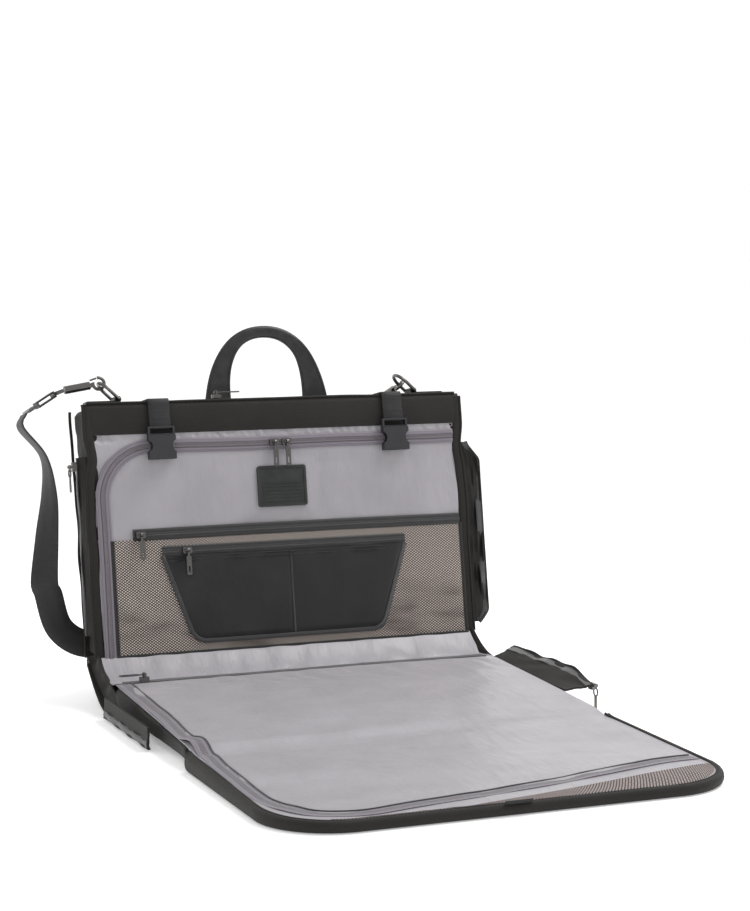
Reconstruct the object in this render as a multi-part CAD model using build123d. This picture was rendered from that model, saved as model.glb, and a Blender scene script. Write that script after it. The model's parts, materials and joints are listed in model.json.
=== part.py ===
from build123d import *
import math
import os

# Tri-fold garment bag, standing open. The middle section lies on its outer pocket, the end
# section lies beyond the crease, and the upright section leans back on the spine.
# X runs across the bag, +Y points from the open end to the spine, +Z is up.
# Sizes are in millimetres and angles in degrees.
# The origin is on the resting face, at mid width, beside the fold of middle and spine.

# ---- overall sizes ----
bag_width = 560.0
panel_length = 350.0          # each of the three sections, along its own length
lean = 8.5                    # the upright section, back from plumb
spine_angle = 22.0            # the spine, up from the floor
middle_depth_rear = 44.0
middle_depth_front = 26.0
end_depth_near = 22.0
end_depth_far = 12.0
upright_depth_bottom = 62.0
upright_depth_top = 78.0

# ---- room between pieces ----
layer_gap = 4.0               # between sections that are folded on each other
front_room = 14.0             # for what stands proud of the upright's front when closed
seam_gap = 0.3                # between soft pieces that lie on each other
fold_gap = 1.5                # each side of the crease
hinge_inset = 3.0             # fold lines lie this far inside the outer faces
running_gap = 0.6             # round a bar that turns in a loop

# ---- fabric, boards and webbing ----
wall = 3.0
spine_thickness = 4.0
lining_thickness = 1.2
tape_thickness = 1.2
board_thickness = 1.6
pocket_depth = 7.7            # outer pocket below the middle section
pocket_side_margin = 24.0
corner_radius = 90.0          # far corners of the end section
binding_width = 6.0
band_height = 46.0            # plain outer fabric across the top of the upright's front

# ---- zippers ----
main_tape_width = 19.0
black_tape_width = 14.0
main_tape_inset = 8.0         # tape edge in from the side of the bag
main_corner_radius = 78.0
end_tape_radius = 86.0        # the end section's tape at the far left corner
end_tape_rise = 108.0         # tape's edge at the right side, in from the far edge
slider_length = 13.0
slider_width = 9.0
slider_height = 5.0
pull_length = 34.0
pull_width = 7.0
pull_thickness = 1.6
bar_radius = 0.9              # the slider's bar, that its pull hangs on
eye_radius = 2.9              # the pull's eye, outside

# ---- pockets inside the upright ----
mesh_top_below_edge = 184.0   # mesh pocket's zipper, centre line, below the top edge
mesh_half_width = 252.0
accessory_top_below_edge = 208.0
accessory_foot = 24.0          # its lower edge above the foot of the panel
accessory_half_top = 178.0
accessory_half_bottom = 138.0
accessory_corner = 14.0
patch_width = 72.0
patch_height = 57.0
patch_top_below_edge = 97.0
patch_thickness = 2.4

# ---- top edge: handle, rings, buckle straps ----
handle_half_span = 91.0       # to the outside of each foot
handle_foot_width = 38.0
handle_height = 100.0         # above the hinge line of its feet
handle_lift = 1.0             # of its feet off the top face
handle_grip_height = 17.0
handle_thickness = 8.0
handle_depth = 42.0           # behind the upright's front face
ring_inset = 60.0             # in from each side of the bag
ring_wire = 2.4
ring_width = 32.0
ring_reach = 33.0
ring_tilt = 45.0
tab_length = 44.0
tab_width = 25.0
hardware_depth = 40.0
buckle_x = 172.0
webbing_width = 30.0
webbing_thickness = 1.8
buckle_width = 38.0
buckle_height = 42.0
buckle_thickness = 11.0
buckle_drop = 40.0            # from the top edge to the buckle
buckle_proud = 2.4            # buckle's back, in front of the upright's front face
buckle_notch_start = 26.0     # male buckle's body, in from the crease
anchor_length = 34.0          # webbing sewn down on the top face

# ---- shoulder strap ----
strap_width = 38.0
strap_thickness = 2.4
hook_radius = 8.0
hook_wire = 2.2
hook_body_length = 36.0
gate_gap = 0.5
swivel_length = 15.0
loop_length = 30.0
adjuster_length = 16.0
back_clearance = 7.0          # strap behind the back panel

# ---- side flaps and hanging hook ----
flap_width = 26.0
flap_thickness = 4.0
flap_bottom = 34.0            # above the lower end of the upright
flap_top_below_edge = 74.0
flap_offset = 4.0             # fold line of an upright flap, out from the side
middle_flap_offset = 10.0
middle_flap_start = 20.0      # in from the fold of middle and spine
middle_flap_length = 210.0
hang_wire = 2.5
hang_radius = 22.0
hang_slot = 8.0               # slot in the top face, under its zipper
hang_slot_half = 92.0
hang_depth = 20.0             # slot's centre, behind the front face

# ---- derived places ----
half = bag_width / 2
ring_x = half - ring_inset
accessory_height = panel_length - accessory_top_below_edge - accessory_foot
middle_rear = 2.0
middle_front = middle_rear - panel_length
crease_y = middle_front - fold_gap
end_near = crease_y - fold_gap
end_length = panel_length - 2 * layer_gap
end_far = end_near - end_length
stack_height = middle_depth_rear + layer_gap + end_depth_far
crease_z = stack_height / 2
closed_depth = stack_height + front_room + upright_depth_bottom

spine_fold_y = middle_rear + hinge_inset
spine_length = closed_depth - 2 * hinge_inset
upright_fold_y = spine_fold_y + spine_length * math.cos(math.radians(spine_angle))
upright_fold_z = hinge_inset + spine_length * math.sin(math.radians(spine_angle))

sin_lean = math.sin(math.radians(lean))
cos_lean = math.cos(math.radians(lean))
fold_depth = upright_depth_bottom - hinge_inset
foot_y = upright_fold_y - (fold_depth + upright_fold_z * sin_lean) / cos_lean
upright_fold_h = (upright_fold_y - foot_y) * sin_lean + upright_fold_z * cos_lean
upright_bottom = upright_fold_h + hinge_inset
upright_top = upright_bottom + panel_length
upright_wedge = math.degrees(math.atan2(upright_depth_top - upright_depth_bottom, panel_length))

# The upright's own axes: X across, Y is depth behind its front face, Z is height on that face.
upright_axes = Location((0, foot_y, 0), (-lean, 0, 0))
# The spine's own axes: X across, Y along it from the middle section, Z to its inner side.
spine_axes = Location((0, spine_fold_y, hinge_inset), (spine_angle, 0, 0))

mesh_zip_h = upright_top - mesh_top_below_edge
accessory_zip_h = upright_top - accessory_top_below_edge
main_zip_h = upright_top - band_height - 18.0
ring_h = upright_top + ring_wire + running_gap + 2.4
ring_tip_h = ring_h + ring_reach * math.cos(math.radians(ring_tilt))
ring_tip_x = ring_reach * math.sin(math.radians(ring_tilt))
handle_pivot_h = upright_top + handle_lift + handle_thickness / 2


# ---- shapes that repeat ----
def block(low, high):
    """A box from its lowest to its highest corner."""
    size = [b - a for a, b in zip(low, high)]
    middle = [(a + b) / 2 for a, b in zip(low, high)]
    return Pos(*middle) * Box(*size)


def prism(points, x_low, x_high):
    """A shape with an outline in Y and Z, from one X to another."""
    return extrude(Plane.YZ.offset(x_low) * Polygon(*points, align=None), amount=x_high - x_low)


def front_plate(sketch, depth_low, depth_high):
    """A flat piece with an outline in X and Z, between two depths."""
    return extrude(Plane.XZ.offset(-depth_low) * sketch, amount=depth_low - depth_high)


def rectangle(x_low, x_high, z_low, z_high):
    return Pos((x_low + x_high) / 2, (z_low + z_high) / 2) * Rectangle(x_high - x_low, z_high - z_low)


def rod(start, end, radius):
    """A round rod between two points."""
    path = Vector(*end) - Vector(*start)
    return Plane(origin=start, z_dir=path) * Cylinder(
        radius, path.length, align=(Align.CENTER, Align.CENTER, Align.MIN)
    )


def middle_top(y):
    """Height of the middle section's lining at a given Y."""
    share = (y - middle_front) / panel_length
    return middle_depth_front + share * (middle_depth_rear - middle_depth_front)


def end_top(y):
    """Height of the end section's lining at a given Y."""
    share = (end_near - y) / end_length
    return end_depth_near + share * (end_depth_far - end_depth_near)


def back_depth(h):
    """Depth of the upright's back face at a given height on its front face."""
    share = (h - upright_bottom) / panel_length
    return upright_depth_bottom + share * (upright_depth_top - upright_depth_bottom)


def save(name, shape):
    export_step(shape, f"parts/{name}.step")


# ---- middle section ----
def middle_block(inset, bottom, below_top):
    """The middle section's wedge, drawn in from its sides and its top."""
    y0, y1 = middle_front + inset, middle_rear - inset
    outline = [
        (y0, bottom), (y1, bottom), (y1, middle_top(y1) - below_top), (y0, middle_top(y0) - below_top),
    ]
    return prism(outline, -half + inset, half - inset)


def middle_shell():
    base = pocket_depth + seam_gap
    outside = middle_block(0, base, lining_thickness + seam_gap)
    return outside - middle_block(wall, base + wall, -1.0)


def middle_padding():
    base = pocket_depth + seam_gap + wall + seam_gap
    return middle_block(wall + seam_gap, base, lining_thickness + 2 * seam_gap)


def middle_lining():
    return middle_block(0, 0, 0) - middle_block(-1.0, -1.0, lining_thickness)


def middle_strip(x_low, x_high, y_low, y_high):
    """A zipper tape that lies on the middle section's lining."""
    low = [(y, middle_top(y) + seam_gap) for y in (y_low, y_high)]
    high = [(y, middle_top(y) + seam_gap + tape_thickness) for y in (y_high, y_low)]
    return prism(low + high, x_low, x_high)


def middle_zipper_tape():
    x_low = -half + main_tape_inset
    return middle_strip(x_low, x_low + main_tape_width, middle_front, middle_rear - black_tape_width - 2.0)


def fold_zipper_tape():
    side = half - main_tape_inset - 12.0
    return middle_strip(-side, side, middle_rear - black_tape_width, middle_rear - 1.0)


def buckle_notch(x):
    """Room in the outer pocket for one male buckle."""
    return block(
        (x - buckle_width / 2 - 4, middle_front - 1, -1),
        (x + buckle_width / 2 + 4, middle_front + buckle_height + 24, pocket_depth + 1),
    )


def outer_pocket():
    side = half - pocket_side_margin
    pad = block((-side, middle_front + 4, 0), (side, middle_rear, pocket_depth))
    for x in (-buckle_x, buckle_x):
        pad -= buckle_notch(x)
    return pad


def male_buckles():
    """Two male halves of the side-release buckles, sewn flat under the middle section."""
    both = []
    for x in (-buckle_x, buckle_x):
        y = middle_front + buckle_notch_start
        body = block((x - 15, y, 1.5), (x + 15, y + 22, pocket_depth))
        centre = block((x - 2.5, y - 18, 2.5), (x + 2.5, y + 1, 6.5))
        prongs = [block((x + s * 12 - 2.5, y - 20, 2.5), (x + s * 12 + 2.5, y + 1, 6.5)) for s in (-1, 1)]
        slot = block((x - 11, y + 15, 0), (x + 11, y + 18, 9))
        both.append(body + centre + prongs[0] + prongs[1] - slot)
    return Compound(both)


# ---- end section ----
def end_outline(inset):
    """The end section's outline in X and Y, with its two far corners rounded."""
    side = half - inset
    far = end_far + inset
    radius = corner_radius - inset
    with BuildSketch() as outline:
        with BuildLine():
            Line((-side, end_near), (side, end_near))
            Line((side, end_near), (side, far + radius))
            ThreePointArc(
                (side, far + radius),
                (side - radius + radius * math.sqrt(0.5), far + radius - radius * math.sqrt(0.5)),
                (side - radius, far),
            )
            Line((side - radius, far), (-side + radius, far))
            ThreePointArc(
                (-side + radius, far),
                (-side + radius - radius * math.sqrt(0.5), far + radius - radius * math.sqrt(0.5)),
                (-side, far + radius),
            )
            Line((-side, far + radius), (-side, end_near))
        make_face()
    return outline.sketch


def end_layer(inset, low, high):
    """Part of the end section between two heights, each measured down from its lining."""
    tall = extrude(end_outline(inset), amount=end_depth_near + 20)
    y_far, y_near = end_far - 10, end_near + 10
    outline = [
        (y_far, end_top(y_far) - low), (y_near, end_top(y_near) - low),
        (y_near, end_top(y_near) - high), (y_far, end_top(y_far) - high),
    ]
    return tall & prism(outline, -half - 10, half + 10)


def end_shell():
    inset = binding_width + seam_gap
    return extrude(end_outline(inset), amount=wall)


def end_padding():
    inset = binding_width + seam_gap
    solid = extrude(end_outline(inset), amount=end_depth_near + 20)
    y_far, y_near = end_far - 10, end_near + 10
    outline = [
        (y_far, wall + seam_gap), (y_near, wall + seam_gap),
        (y_near, end_top(y_near) - lining_thickness - seam_gap),
        (y_far, end_top(y_far) - lining_thickness - seam_gap),
    ]
    return solid & prism(outline, -half - 10, half + 10)


def end_lining():
    return end_layer(binding_width + seam_gap, lining_thickness, 0)


def end_binding():
    """Piped edge round the sides and the far end."""
    ring = end_outline(0) - end_outline(binding_width)
    y_far, y_near = end_far - 10, end_near + 10
    outline = [(y_far, 0), (y_near, 0), (y_near, end_top(y_near)), (y_far, end_top(y_far))]
    band = extrude(ring, amount=end_depth_near + 20) & prism(outline, -half - 10, half + 10)
    open_side = block((-half + binding_width, end_near - binding_width - 1, -1), (half - binding_width, end_near + 1, 60))
    return band - open_side


def end_zipper_tape():
    """Main tape down the left side, round the far corner and on a slant to the right side."""
    outer = main_tape_inset + 2.0
    left, right, open_end = -half + outer, half - outer, end_near + 60
    panel = Polygon(
        (left, open_end), (left, end_far + outer), (right, end_far + end_tape_rise), (right, open_end),
        align=None,
    )
    panel = fillet(panel.vertices().group_by(Axis.X)[0].sort_by(Axis.Y)[0], end_tape_radius)
    tape = panel - Pos(main_tape_width, main_tape_width) * panel
    tape &= rectangle(-half, right, end_far, end_near)
    raised = end_layer(0, -seam_gap, -seam_gap - tape_thickness)
    return raised & extrude(tape, amount=end_depth_near + 20)


# ---- spine ----
def spine_panel():
    start, end = hinge_inset, spine_length - hinge_inset
    low, high = -spine_thickness / 2, spine_thickness / 2
    return spine_axes * block((-half + 2, start, low), (half - 2, end, high))


# ---- upright section ----
def upright_block(inset, front, top_inset=None):
    """The upright's wedge, drawn in from its sides, back and ends."""
    top = upright_top - (inset if top_inset is None else top_inset)
    bottom = upright_bottom + inset
    outline = [
        (front, bottom), (back_depth(bottom) - inset, bottom), (back_depth(top) - inset, top), (front, top),
    ]
    return prism(outline, -half + inset, half - inset)


def upright_shell():
    front = lining_thickness + seam_gap
    slot = block(
        (-hang_slot_half, hang_depth - hang_slot / 2, upright_top - 2 * wall),
        (hang_slot_half, hang_depth + hang_slot / 2, upright_top + 1),
    )
    return upright_axes * (upright_block(0, front) - upright_block(wall, front - 1) - slot)


def back_board():
    h_low, h_high = upright_bottom + 12, upright_top - 16
    gap = wall + seam_gap
    outline = [
        (back_depth(h_low) - gap - board_thickness, h_low), (back_depth(h_low) - gap, h_low),
        (back_depth(h_high) - gap, h_high), (back_depth(h_high) - gap - board_thickness, h_high),
    ]
    return upright_axes * prism(outline, -half + 14, half - 14)


def upright_lining():
    sheet = rectangle(-half, half, upright_bottom, upright_top - band_height - seam_gap)
    return upright_axes * front_plate(sheet, 0, lining_thickness)


def top_band():
    sheet = rectangle(-half, half, upright_top - band_height, upright_top)
    return upright_axes * front_plate(sheet, 0, lining_thickness)


def mesh_pocket():
    sheet = rectangle(
        -mesh_half_width, mesh_half_width, upright_bottom + 2, mesh_zip_h - black_tape_width / 2 - seam_gap
    )
    return upright_axes * front_plate(sheet, -seam_gap - lining_thickness, -seam_gap)


def accessory_outline(grow):
    """The small black pocket: wide at the top, narrow and rounded at the bottom."""
    top = accessory_zip_h - black_tape_width / 2 - seam_gap
    bottom = top - accessory_height
    flat = Polygon(
        (-accessory_half_top - grow, top), (accessory_half_top + grow, top),
        (accessory_half_bottom + grow, bottom - grow), (-accessory_half_bottom - grow, bottom - grow),
        align=None,
    )
    return fillet(flat.vertices().sort_by(Axis.Y)[:2], accessory_corner)


accessory_front = -2 * seam_gap - 2 * lining_thickness - 1.6


def accessory_pocket():
    return upright_axes * front_plate(
        accessory_outline(0), accessory_front, -2 * seam_gap - lining_thickness
    )


def black_zipper_tapes():
    """The mesh pocket's, the small pocket's and the top pocket's tapes."""
    edge = black_tape_width / 2
    mesh = front_plate(
        rectangle(-mesh_half_width + 34, mesh_half_width, mesh_zip_h - edge, mesh_zip_h + edge),
        -seam_gap - tape_thickness, -seam_gap,
    )
    small = front_plate(
        rectangle(
            -accessory_half_top, accessory_half_top, accessory_zip_h - edge,
            min(accessory_zip_h + edge, mesh_zip_h - edge - seam_gap),
        ),
        -2 * seam_gap - lining_thickness - tape_thickness, -2 * seam_gap - lining_thickness,
    )
    top_low, top_high = upright_top + seam_gap, upright_top + seam_gap + tape_thickness
    sides = [
        block((-hang_slot_half, hang_depth + a, top_low), (hang_slot_half, hang_depth + b, top_high))
        for a, b in ((-hang_slot, -hang_slot / 2), (hang_slot / 2, hang_slot))
    ]
    return upright_axes * Compound([mesh, small] + sides)


def main_zipper_tape():
    """Tape along the upper edge, round the left corner and down the left side."""
    tape = main_tape_width
    left = -half + main_tape_inset
    right = half - 28.0
    top = main_zip_h + tape / 2
    radius = main_corner_radius
    bottom = upright_bottom + 2

    def corner(inset):
        r = radius - inset
        cx, cz = left + radius, top - radius
        with BuildSketch() as face:
            with BuildLine():
                Line((left + inset, bottom), (left + inset, cz))
                ThreePointArc(
                    (left + inset, cz), (cx - r * math.sqrt(0.5), cz + r * math.sqrt(0.5)), (cx, top - inset)
                )
                Line((cx, top - inset), (right, top - inset))
                Line((right, top - inset), (right, bottom))
                Line((right, bottom), (left + inset, bottom))
            make_face()
        return face.sketch

    band = corner(0) - corner(tape)
    return upright_axes * front_plate(band, -seam_gap - tape_thickness, -seam_gap)


def rubber_patch():
    top = upright_top - patch_top_below_edge
    face = RectangleRounded(patch_width, patch_height, 4.0)
    place = Pos(0, top - patch_height / 2)
    rim = front_plate(place * face, -seam_gap - patch_thickness, -seam_gap)
    inner = front_plate(
        place * RectangleRounded(patch_width - 7, patch_height - 7, 2.0),
        -seam_gap - patch_thickness - 1, -seam_gap - patch_thickness + 0.8,
    )
    ribs = [
        front_plate(
            Pos(0, top - patch_height + 8 + 5.0 * n) * Rectangle(patch_width - 14, 1.4),
            -seam_gap - patch_thickness, -seam_gap - patch_thickness + 1.2,
        )
        for n in range(6)
    ]
    patch = rim - inner
    for rib in ribs:
        patch += rib
    return upright_axes * patch


def ring_tabs():
    """Leather tabs sewn to the top face, each with a sleeve round the bar of its ring."""
    bore = ring_wire + running_gap
    both = []
    for side in (-1, 1):
        x0, x1 = sorted((side * (ring_x + 2), side * (ring_x + tab_length)))
        low = (x0, hardware_depth - tab_width / 2, upright_top + seam_gap)
        high = (x1, hardware_depth + tab_width / 2, upright_top + seam_gap + 3.0)
        ends = [(side * ring_x, hardware_depth + s * (ring_width / 2 - 5), ring_h) for s in (-1, 1)]
        longer = [(side * ring_x, hardware_depth + s * ring_width, ring_h) for s in (-1, 1)]
        tab = block(low, high) + rod(*ends, bore + 1.8)
        tab -= rod(*longer, bore)
        tab -= block((-half, -9, upright_top - 20), (half, 99, upright_top + seam_gap))
        both.append(tab)
    return upright_axes * Compound(both)


def strap_anchors():
    """The sewn ends of the two buckle straps, flat on the top face."""
    both = [
        block(
            (x - webbing_width / 2, 3.0, upright_top + seam_gap),
            (x + webbing_width / 2, 3.0 + anchor_length, upright_top + seam_gap + webbing_thickness),
        )
        for x in (-buckle_x, buckle_x)
    ]
    return upright_axes * Compound(both)


def hanger_bracket():
    """Metal bracket below the top face that carries the garments' hangers."""
    h = upright_top - 70.0
    back = block((-38, hang_depth + 10, h), (38, hang_depth + 12, h + 46))
    tray = block((-38, hang_depth - 14, h), (38, hang_depth + 11, h + 2))
    lip = block((-38, hang_depth - 16, h), (38, hang_depth - 14, h + 9))
    holes = [rod((x, hang_depth, h + 36), (x, hang_depth + 20, h + 36), 2.2) for x in (-28, 28)]
    bracket = back + tray + lip
    for hole in holes:
        bracket -= hole
    return upright_axes * bracket


def hanging_hook():
    """Wire hook stored below the slot in the top face. It slides up through the slot."""
    x = 58.0
    crown = upright_top - 34.0 - hang_radius
    hook = Pos(x, hang_depth, crown) * Rot(90, 0, 0) * Torus(hang_radius, hang_wire)
    hook -= block((x - 60, hang_depth - 5, crown - 60), (x, hang_depth + 5, crown))
    stem = block((x - 2.5, hang_depth - 2.5, crown - hang_radius - 34), (x + 2.5, hang_depth + 2.5, crown - hang_radius))
    foot = block(
        (x - 14, hang_depth - 2.5, crown - hang_radius - 42), (x + 14, hang_depth + 2.5, crown - hang_radius - 34)
    )
    return upright_axes * (hook + stem + foot)


# ---- handle ----
def carry_handle():
    """Flat leather feet, rounded where they hinge, that rise and close in to a thicker grip."""
    low = handle_pivot_h
    top = low + handle_height
    outer, foot = handle_half_span, handle_foot_width
    inner = outer - foot
    grip_low = top - handle_grip_height
    with BuildSketch() as face:
        with BuildLine():
            Line((-outer, low), (-inner, low))
            Bezier((-inner, low), (-inner - 2, low + 44), (-inner + 8, grip_low), (0, grip_low))
            Bezier((0, grip_low), (inner - 8, grip_low), (inner + 2, low + 44), (inner, low))
            Line((inner, low), (outer, low))
            Bezier((outer, low), (outer - 8, low + 52), (inner + 4, top), (0, top))
            Bezier((0, top), (-inner - 4, top), (-outer + 8, low + 52), (-outer, low))
        make_face()
    radius = handle_thickness / 2
    shape = front_plate(face.sketch, handle_depth - radius, handle_depth + radius)
    for side in (-1, 1):
        shape += rod((side * inner, handle_depth, low), (side * outer, handle_depth, low), radius)
    return upright_axes * shape


# ---- buckle straps ----
def buckle_webbing(x):
    """Webbing that hangs from the top edge down to its buckle."""
    drop = buckle_drop + 6.0
    front = -buckle_proud
    plate = block(
        (x - webbing_width / 2, front - webbing_thickness, upright_top - drop),
        (x + webbing_width / 2, front, upright_top + seam_gap + webbing_thickness),
    )
    over = block(
        (x - webbing_width / 2, front - webbing_thickness, upright_top + seam_gap),
        (x + webbing_width / 2, 2.7, upright_top + seam_gap + webbing_thickness),
    )
    return upright_axes * (plate + over)


def female_buckle(x):
    """Female half of a side-release buckle: a hollow body with open sides and a bar above."""
    top = upright_top - buckle_drop
    low = top - buckle_height
    back = -buckle_proud
    front = back - buckle_thickness
    hw = buckle_width / 2
    body = block((x - hw, front, low), (x + hw, back, top - 9))
    mouth = block((x - hw + 3, front + 2.2, low - 1), (x + hw - 3, back - 2.0, top - 13))
    waists = [Pos(x + s * (hw + 4), 0, low + 18) * Rot(90, 0, 0) * Cylinder(9, 60) for s in (-1, 1)]
    frame = block((x - hw, front + 3.5, top - 9.5), (x + hw, back, top + 3))
    slot = block((x - webbing_width / 2 - 1, front, top - 7), (x + webbing_width / 2 + 1, 1, top + 0.5))
    buckle = body - mouth
    for waist in waists:
        buckle -= waist
    return upright_axes * (buckle + (frame - slot))


def webbing_clear_of_buckle(x):
    """The webbing, ending just above the bar of its buckle."""
    top = upright_top - buckle_drop
    cut = block((x - 30, -30, top - 60), (x + 30, 30, top + 3 + seam_gap))
    return buckle_webbing(x) - upright_axes * cut


# ---- rings and snap hooks ----
def ring(side):
    """D-shaped ring: its bar lies in the tab's sleeve, its bow leans to the left."""
    half_bar = ring_width / 2
    bow = ring_reach - half_bar
    with BuildPart() as wire:
        with BuildLine() as path:
            Line((0, half_bar, 0), (0, -half_bar, 0))
            Line((0, -half_bar, 0), (0, -half_bar, bow))
            ThreePointArc((0, -half_bar, bow), (0, 0, ring_reach), (0, half_bar, bow))
            Line((0, half_bar, bow), (0, half_bar, 0))
        with BuildSketch(Plane(origin=(0, half_bar - 8, 0), z_dir=(0, -1, 0))):
            Circle(ring_wire)
        sweep(path=path.line, transition=Transition.ROUND)
    place = Location((side * ring_x, hardware_depth, ring_h), (0, -ring_tilt, 0))
    return upright_axes * place * wire.part


def chain_axes(origin, out, up, droop):
    """Axes of one link: +X runs out along the strap, turned down by an angle."""
    c, d = math.cos(math.radians(droop)), math.sin(math.radians(droop))
    out, up = Vector(*out), Vector(*up)
    return Plane(origin=origin, x_dir=out * c - up * d, z_dir=up * c + out * d).location


def next_link(place, length, droop):
    """Axes of the link that follows, turned down further."""
    return place * Location((length, 0, 0)) * Location((0, 0, 0), (0, droop, 0))


def hook_place(side):
    """The snap hook's own axes: origin inside its bow, +X along its body.

    The left hook holds the tip of its ring, the right one the rear leg of its ring.
    """
    if side < 0:
        origin = (-ring_x - ring_tip_x, hardware_depth, ring_tip_h)
        return upright_axes * chain_axes(origin, (-1, 0, 0), (0, 0, 1), 9.0)
    share = 0.45
    origin = (
        ring_x - share * ring_tip_x, hardware_depth + ring_width / 2,
        ring_h + share * (ring_tip_h - ring_h),
    )
    slant = (math.cos(math.radians(ring_tilt)), 0, math.sin(math.radians(ring_tilt)))
    return upright_axes * chain_axes(origin, (0, 1, 0), slant, 28.0)


def eye_place(side):
    start = hook_radius + 5 + hook_body_length + seam_gap
    return next_link(hook_place(side), start, 10.0 if side < 0 else 30.0)


def loop_place(side):
    return next_link(eye_place(side), swivel_length + seam_gap, 12.0 if side < 0 else 22.0)


def webbing_place(side):
    """Where the webbing starts, beyond the loop and on the left beyond the adjuster."""
    return next_link(loop_place(side), loop_length + seam_gap, 0)


def snap_hook_shape():
    """A bow with an open part for the gate, and a barrel."""
    bow = Rot(90, 0, 0) * Torus(hook_radius, hook_wire)
    gap = block((0.5, -6, 3.0), (hook_radius + 8, 6, hook_radius + 6))
    neck = block((hook_radius - 1, -3.5, -hook_wire - 1.5), (hook_radius + 6, 3.5, 2.2))
    barrel = Pos(hook_radius + 5, 0, -0.5) * Rot(0, 90, 0) * Cylinder(
        5.6, hook_body_length, align=(Align.CENTER, Align.CENTER, Align.MIN)
    )
    return (bow - gap) + neck + barrel


def gate_shape():
    """Bar that closes the bow between its tip and the barrel."""
    start = (hook_radius + 3.2, 0, 4.2 + hook_wire)
    end = (1.4 + gate_gap, 0, hook_radius - 0.2)
    bar = rod(start, end, 1.3)
    return bar


def snap_hooks():
    return Compound([hook_place(side) * snap_hook_shape() for side in (-1, 1)])


def swivel_eyes():
    """Pin and rectangular eye behind each barrel."""
    both = []
    for side in (-1, 1):
        pin = Pos(1.9, 0, -0.5) * Rot(0, 90, 0) * Cylinder(
            2.6, 3.2, align=(Align.CENTER, Align.CENTER, Align.MIN)
        )
        frame = block((4.5, -16, -3), (swivel_length, 16, 2))
        window = block((8, -12.5, -9), (swivel_length - 3, 12.5, 9))
        both.append(eye_place(side) * (pin + frame - window))
    return Compound(both)


def strap_loops():
    """Leather loops between each swivel eye and the webbing."""
    both = []
    for side in (-1, 1):
        outside = block((1, -12, -5), (loop_length, 12, 4))
        inside = block((3.4, -13, -2.6), (loop_length - 2.4, 13, 1.6))
        both.append(loop_place(side) * (outside - inside))
    return Compound(both)


def strap_adjuster():
    """Two-slot bar where the webbing doubles back on the left."""
    plate = block((0, -22, -2.5), (adjuster_length, 22, 1.5))
    for x in (3, 9.4):
        plate -= block((x, -19, -6), (x + 3.6, 19, 6))
    return webbing_place(-1) * plate


def strap_route():
    """Centre, width direction and thickness direction of the webbing, from left to right.

    All in the upright's own axes: X across, Y depth, Z height.
    """
    local = upright_axes.inverse()
    start = (local * webbing_place(-1) * Location((adjuster_length + 2, 0, -0.5))).position
    finish = (local * webbing_place(1) * Location((1, 0, -0.5))).position
    lead = (local * webbing_place(1) * Location((22, 0, -1.5))).position
    outside = -half - 40.0
    low = upright_bottom + 34.0
    rear = back_depth(low) + back_clearance
    route = [
        (start, (0, 1, 0)),
        ((start.X - 6, start.Y, start.Z - 18), (0, 1, 0)),
        ((outside - 2, start.Y + 4, start.Z - 60), (0, 1, 0)),
        ((outside + 4, start.Y + 8, start.Z - 110), (-0.35, 1, 0)),
        ((outside - 2, start.Y + 10, start.Z - 170), (-0.9, 1, 0)),
        ((outside - 8, start.Y + 13, start.Z - 230), (-1, 0.5, 0)),
        ((outside - 4, start.Y + 18, low + 60), (-1, 0.2, 0.1)),
        ((outside + 12, rear, low + 14), (-1, 0.05, -0.5)),
        ((outside + 44, rear + 6, low - 10), (-0.5, 0, -1)),
        ((outside + 84, rear + 6, low - 8), (0, 0, -1)),
        ((outside + 150, rear + 5, low + 22), (0.45, 0, -1)),
    ]
    last = Vector(*route[-1][0])
    for share in (0.25, 0.5, 0.75):
        point = last + (lead - last) * share
        depth = back_depth(point.Z) + back_clearance + 3
        route.append(((point.X, max(depth, point.Y - 14), point.Z), (0.62, 0, -1)))
    across = (1, 0, -1)
    return route + [(lead, across), (finish, across)]


def shoulder_webbing():
    """Flat webbing with straight edges from one section to the next."""
    route = strap_route()
    points = [Vector(p) if isinstance(p, Vector) else Vector(*p) for p, _ in route]
    sections = []
    for n, (_, wide) in enumerate(route):
        ahead = points[min(n + 1, len(points) - 1)] - points[max(n - 1, 0)]
        across = Vector(*wide)
        across = across - ahead.normalized() * across.dot(ahead.normalized())
        frame = Plane(origin=points[n], x_dir=across.normalized(), z_dir=ahead.normalized())
        sections.append(frame * Rectangle(strap_width, strap_thickness))
    return upright_axes * loft(sections, ruled=True)


# ---- side flaps ----
def upright_flap(side):
    """Flap that zips the upright to the middle. The left one is folded back on the side."""
    x = side * (half + flap_offset)
    low, high = upright_bottom + flap_bottom, upright_top - flap_top_below_edge
    t = flap_thickness / 2
    if side < 0:
        return upright_axes * block((x - t, t + 0.5, low), (x + t, t + 0.5 + flap_width, high))
    return upright_axes * block((x + t, 0, low), (x + t + flap_width, flap_thickness, high))


def middle_flap(side):
    """Flap on the middle section. The left one hangs, the right one stands out."""
    x = side * (half + middle_flap_offset)
    y_high = middle_rear - middle_flap_start
    y_low = y_high - middle_flap_length
    z = middle_flap_z
    t = flap_thickness / 2
    if side < 0:
        return block((x - t, y_low, z - t - flap_width), (x + t, y_high, z - t))
    return block((x + t, y_low, z - t), (x + t + flap_width, y_high, z + t))


middle_flap_z = middle_top(middle_rear - middle_flap_start - middle_flap_length)


# ---- zipper sliders and pulls ----
# In a slider's own axes the tape lies at Z = 0, the pull's bar runs along X
# and the pull lies towards -Y.
bar_height = seam_gap + slider_height + eye_radius + 0.4


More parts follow.
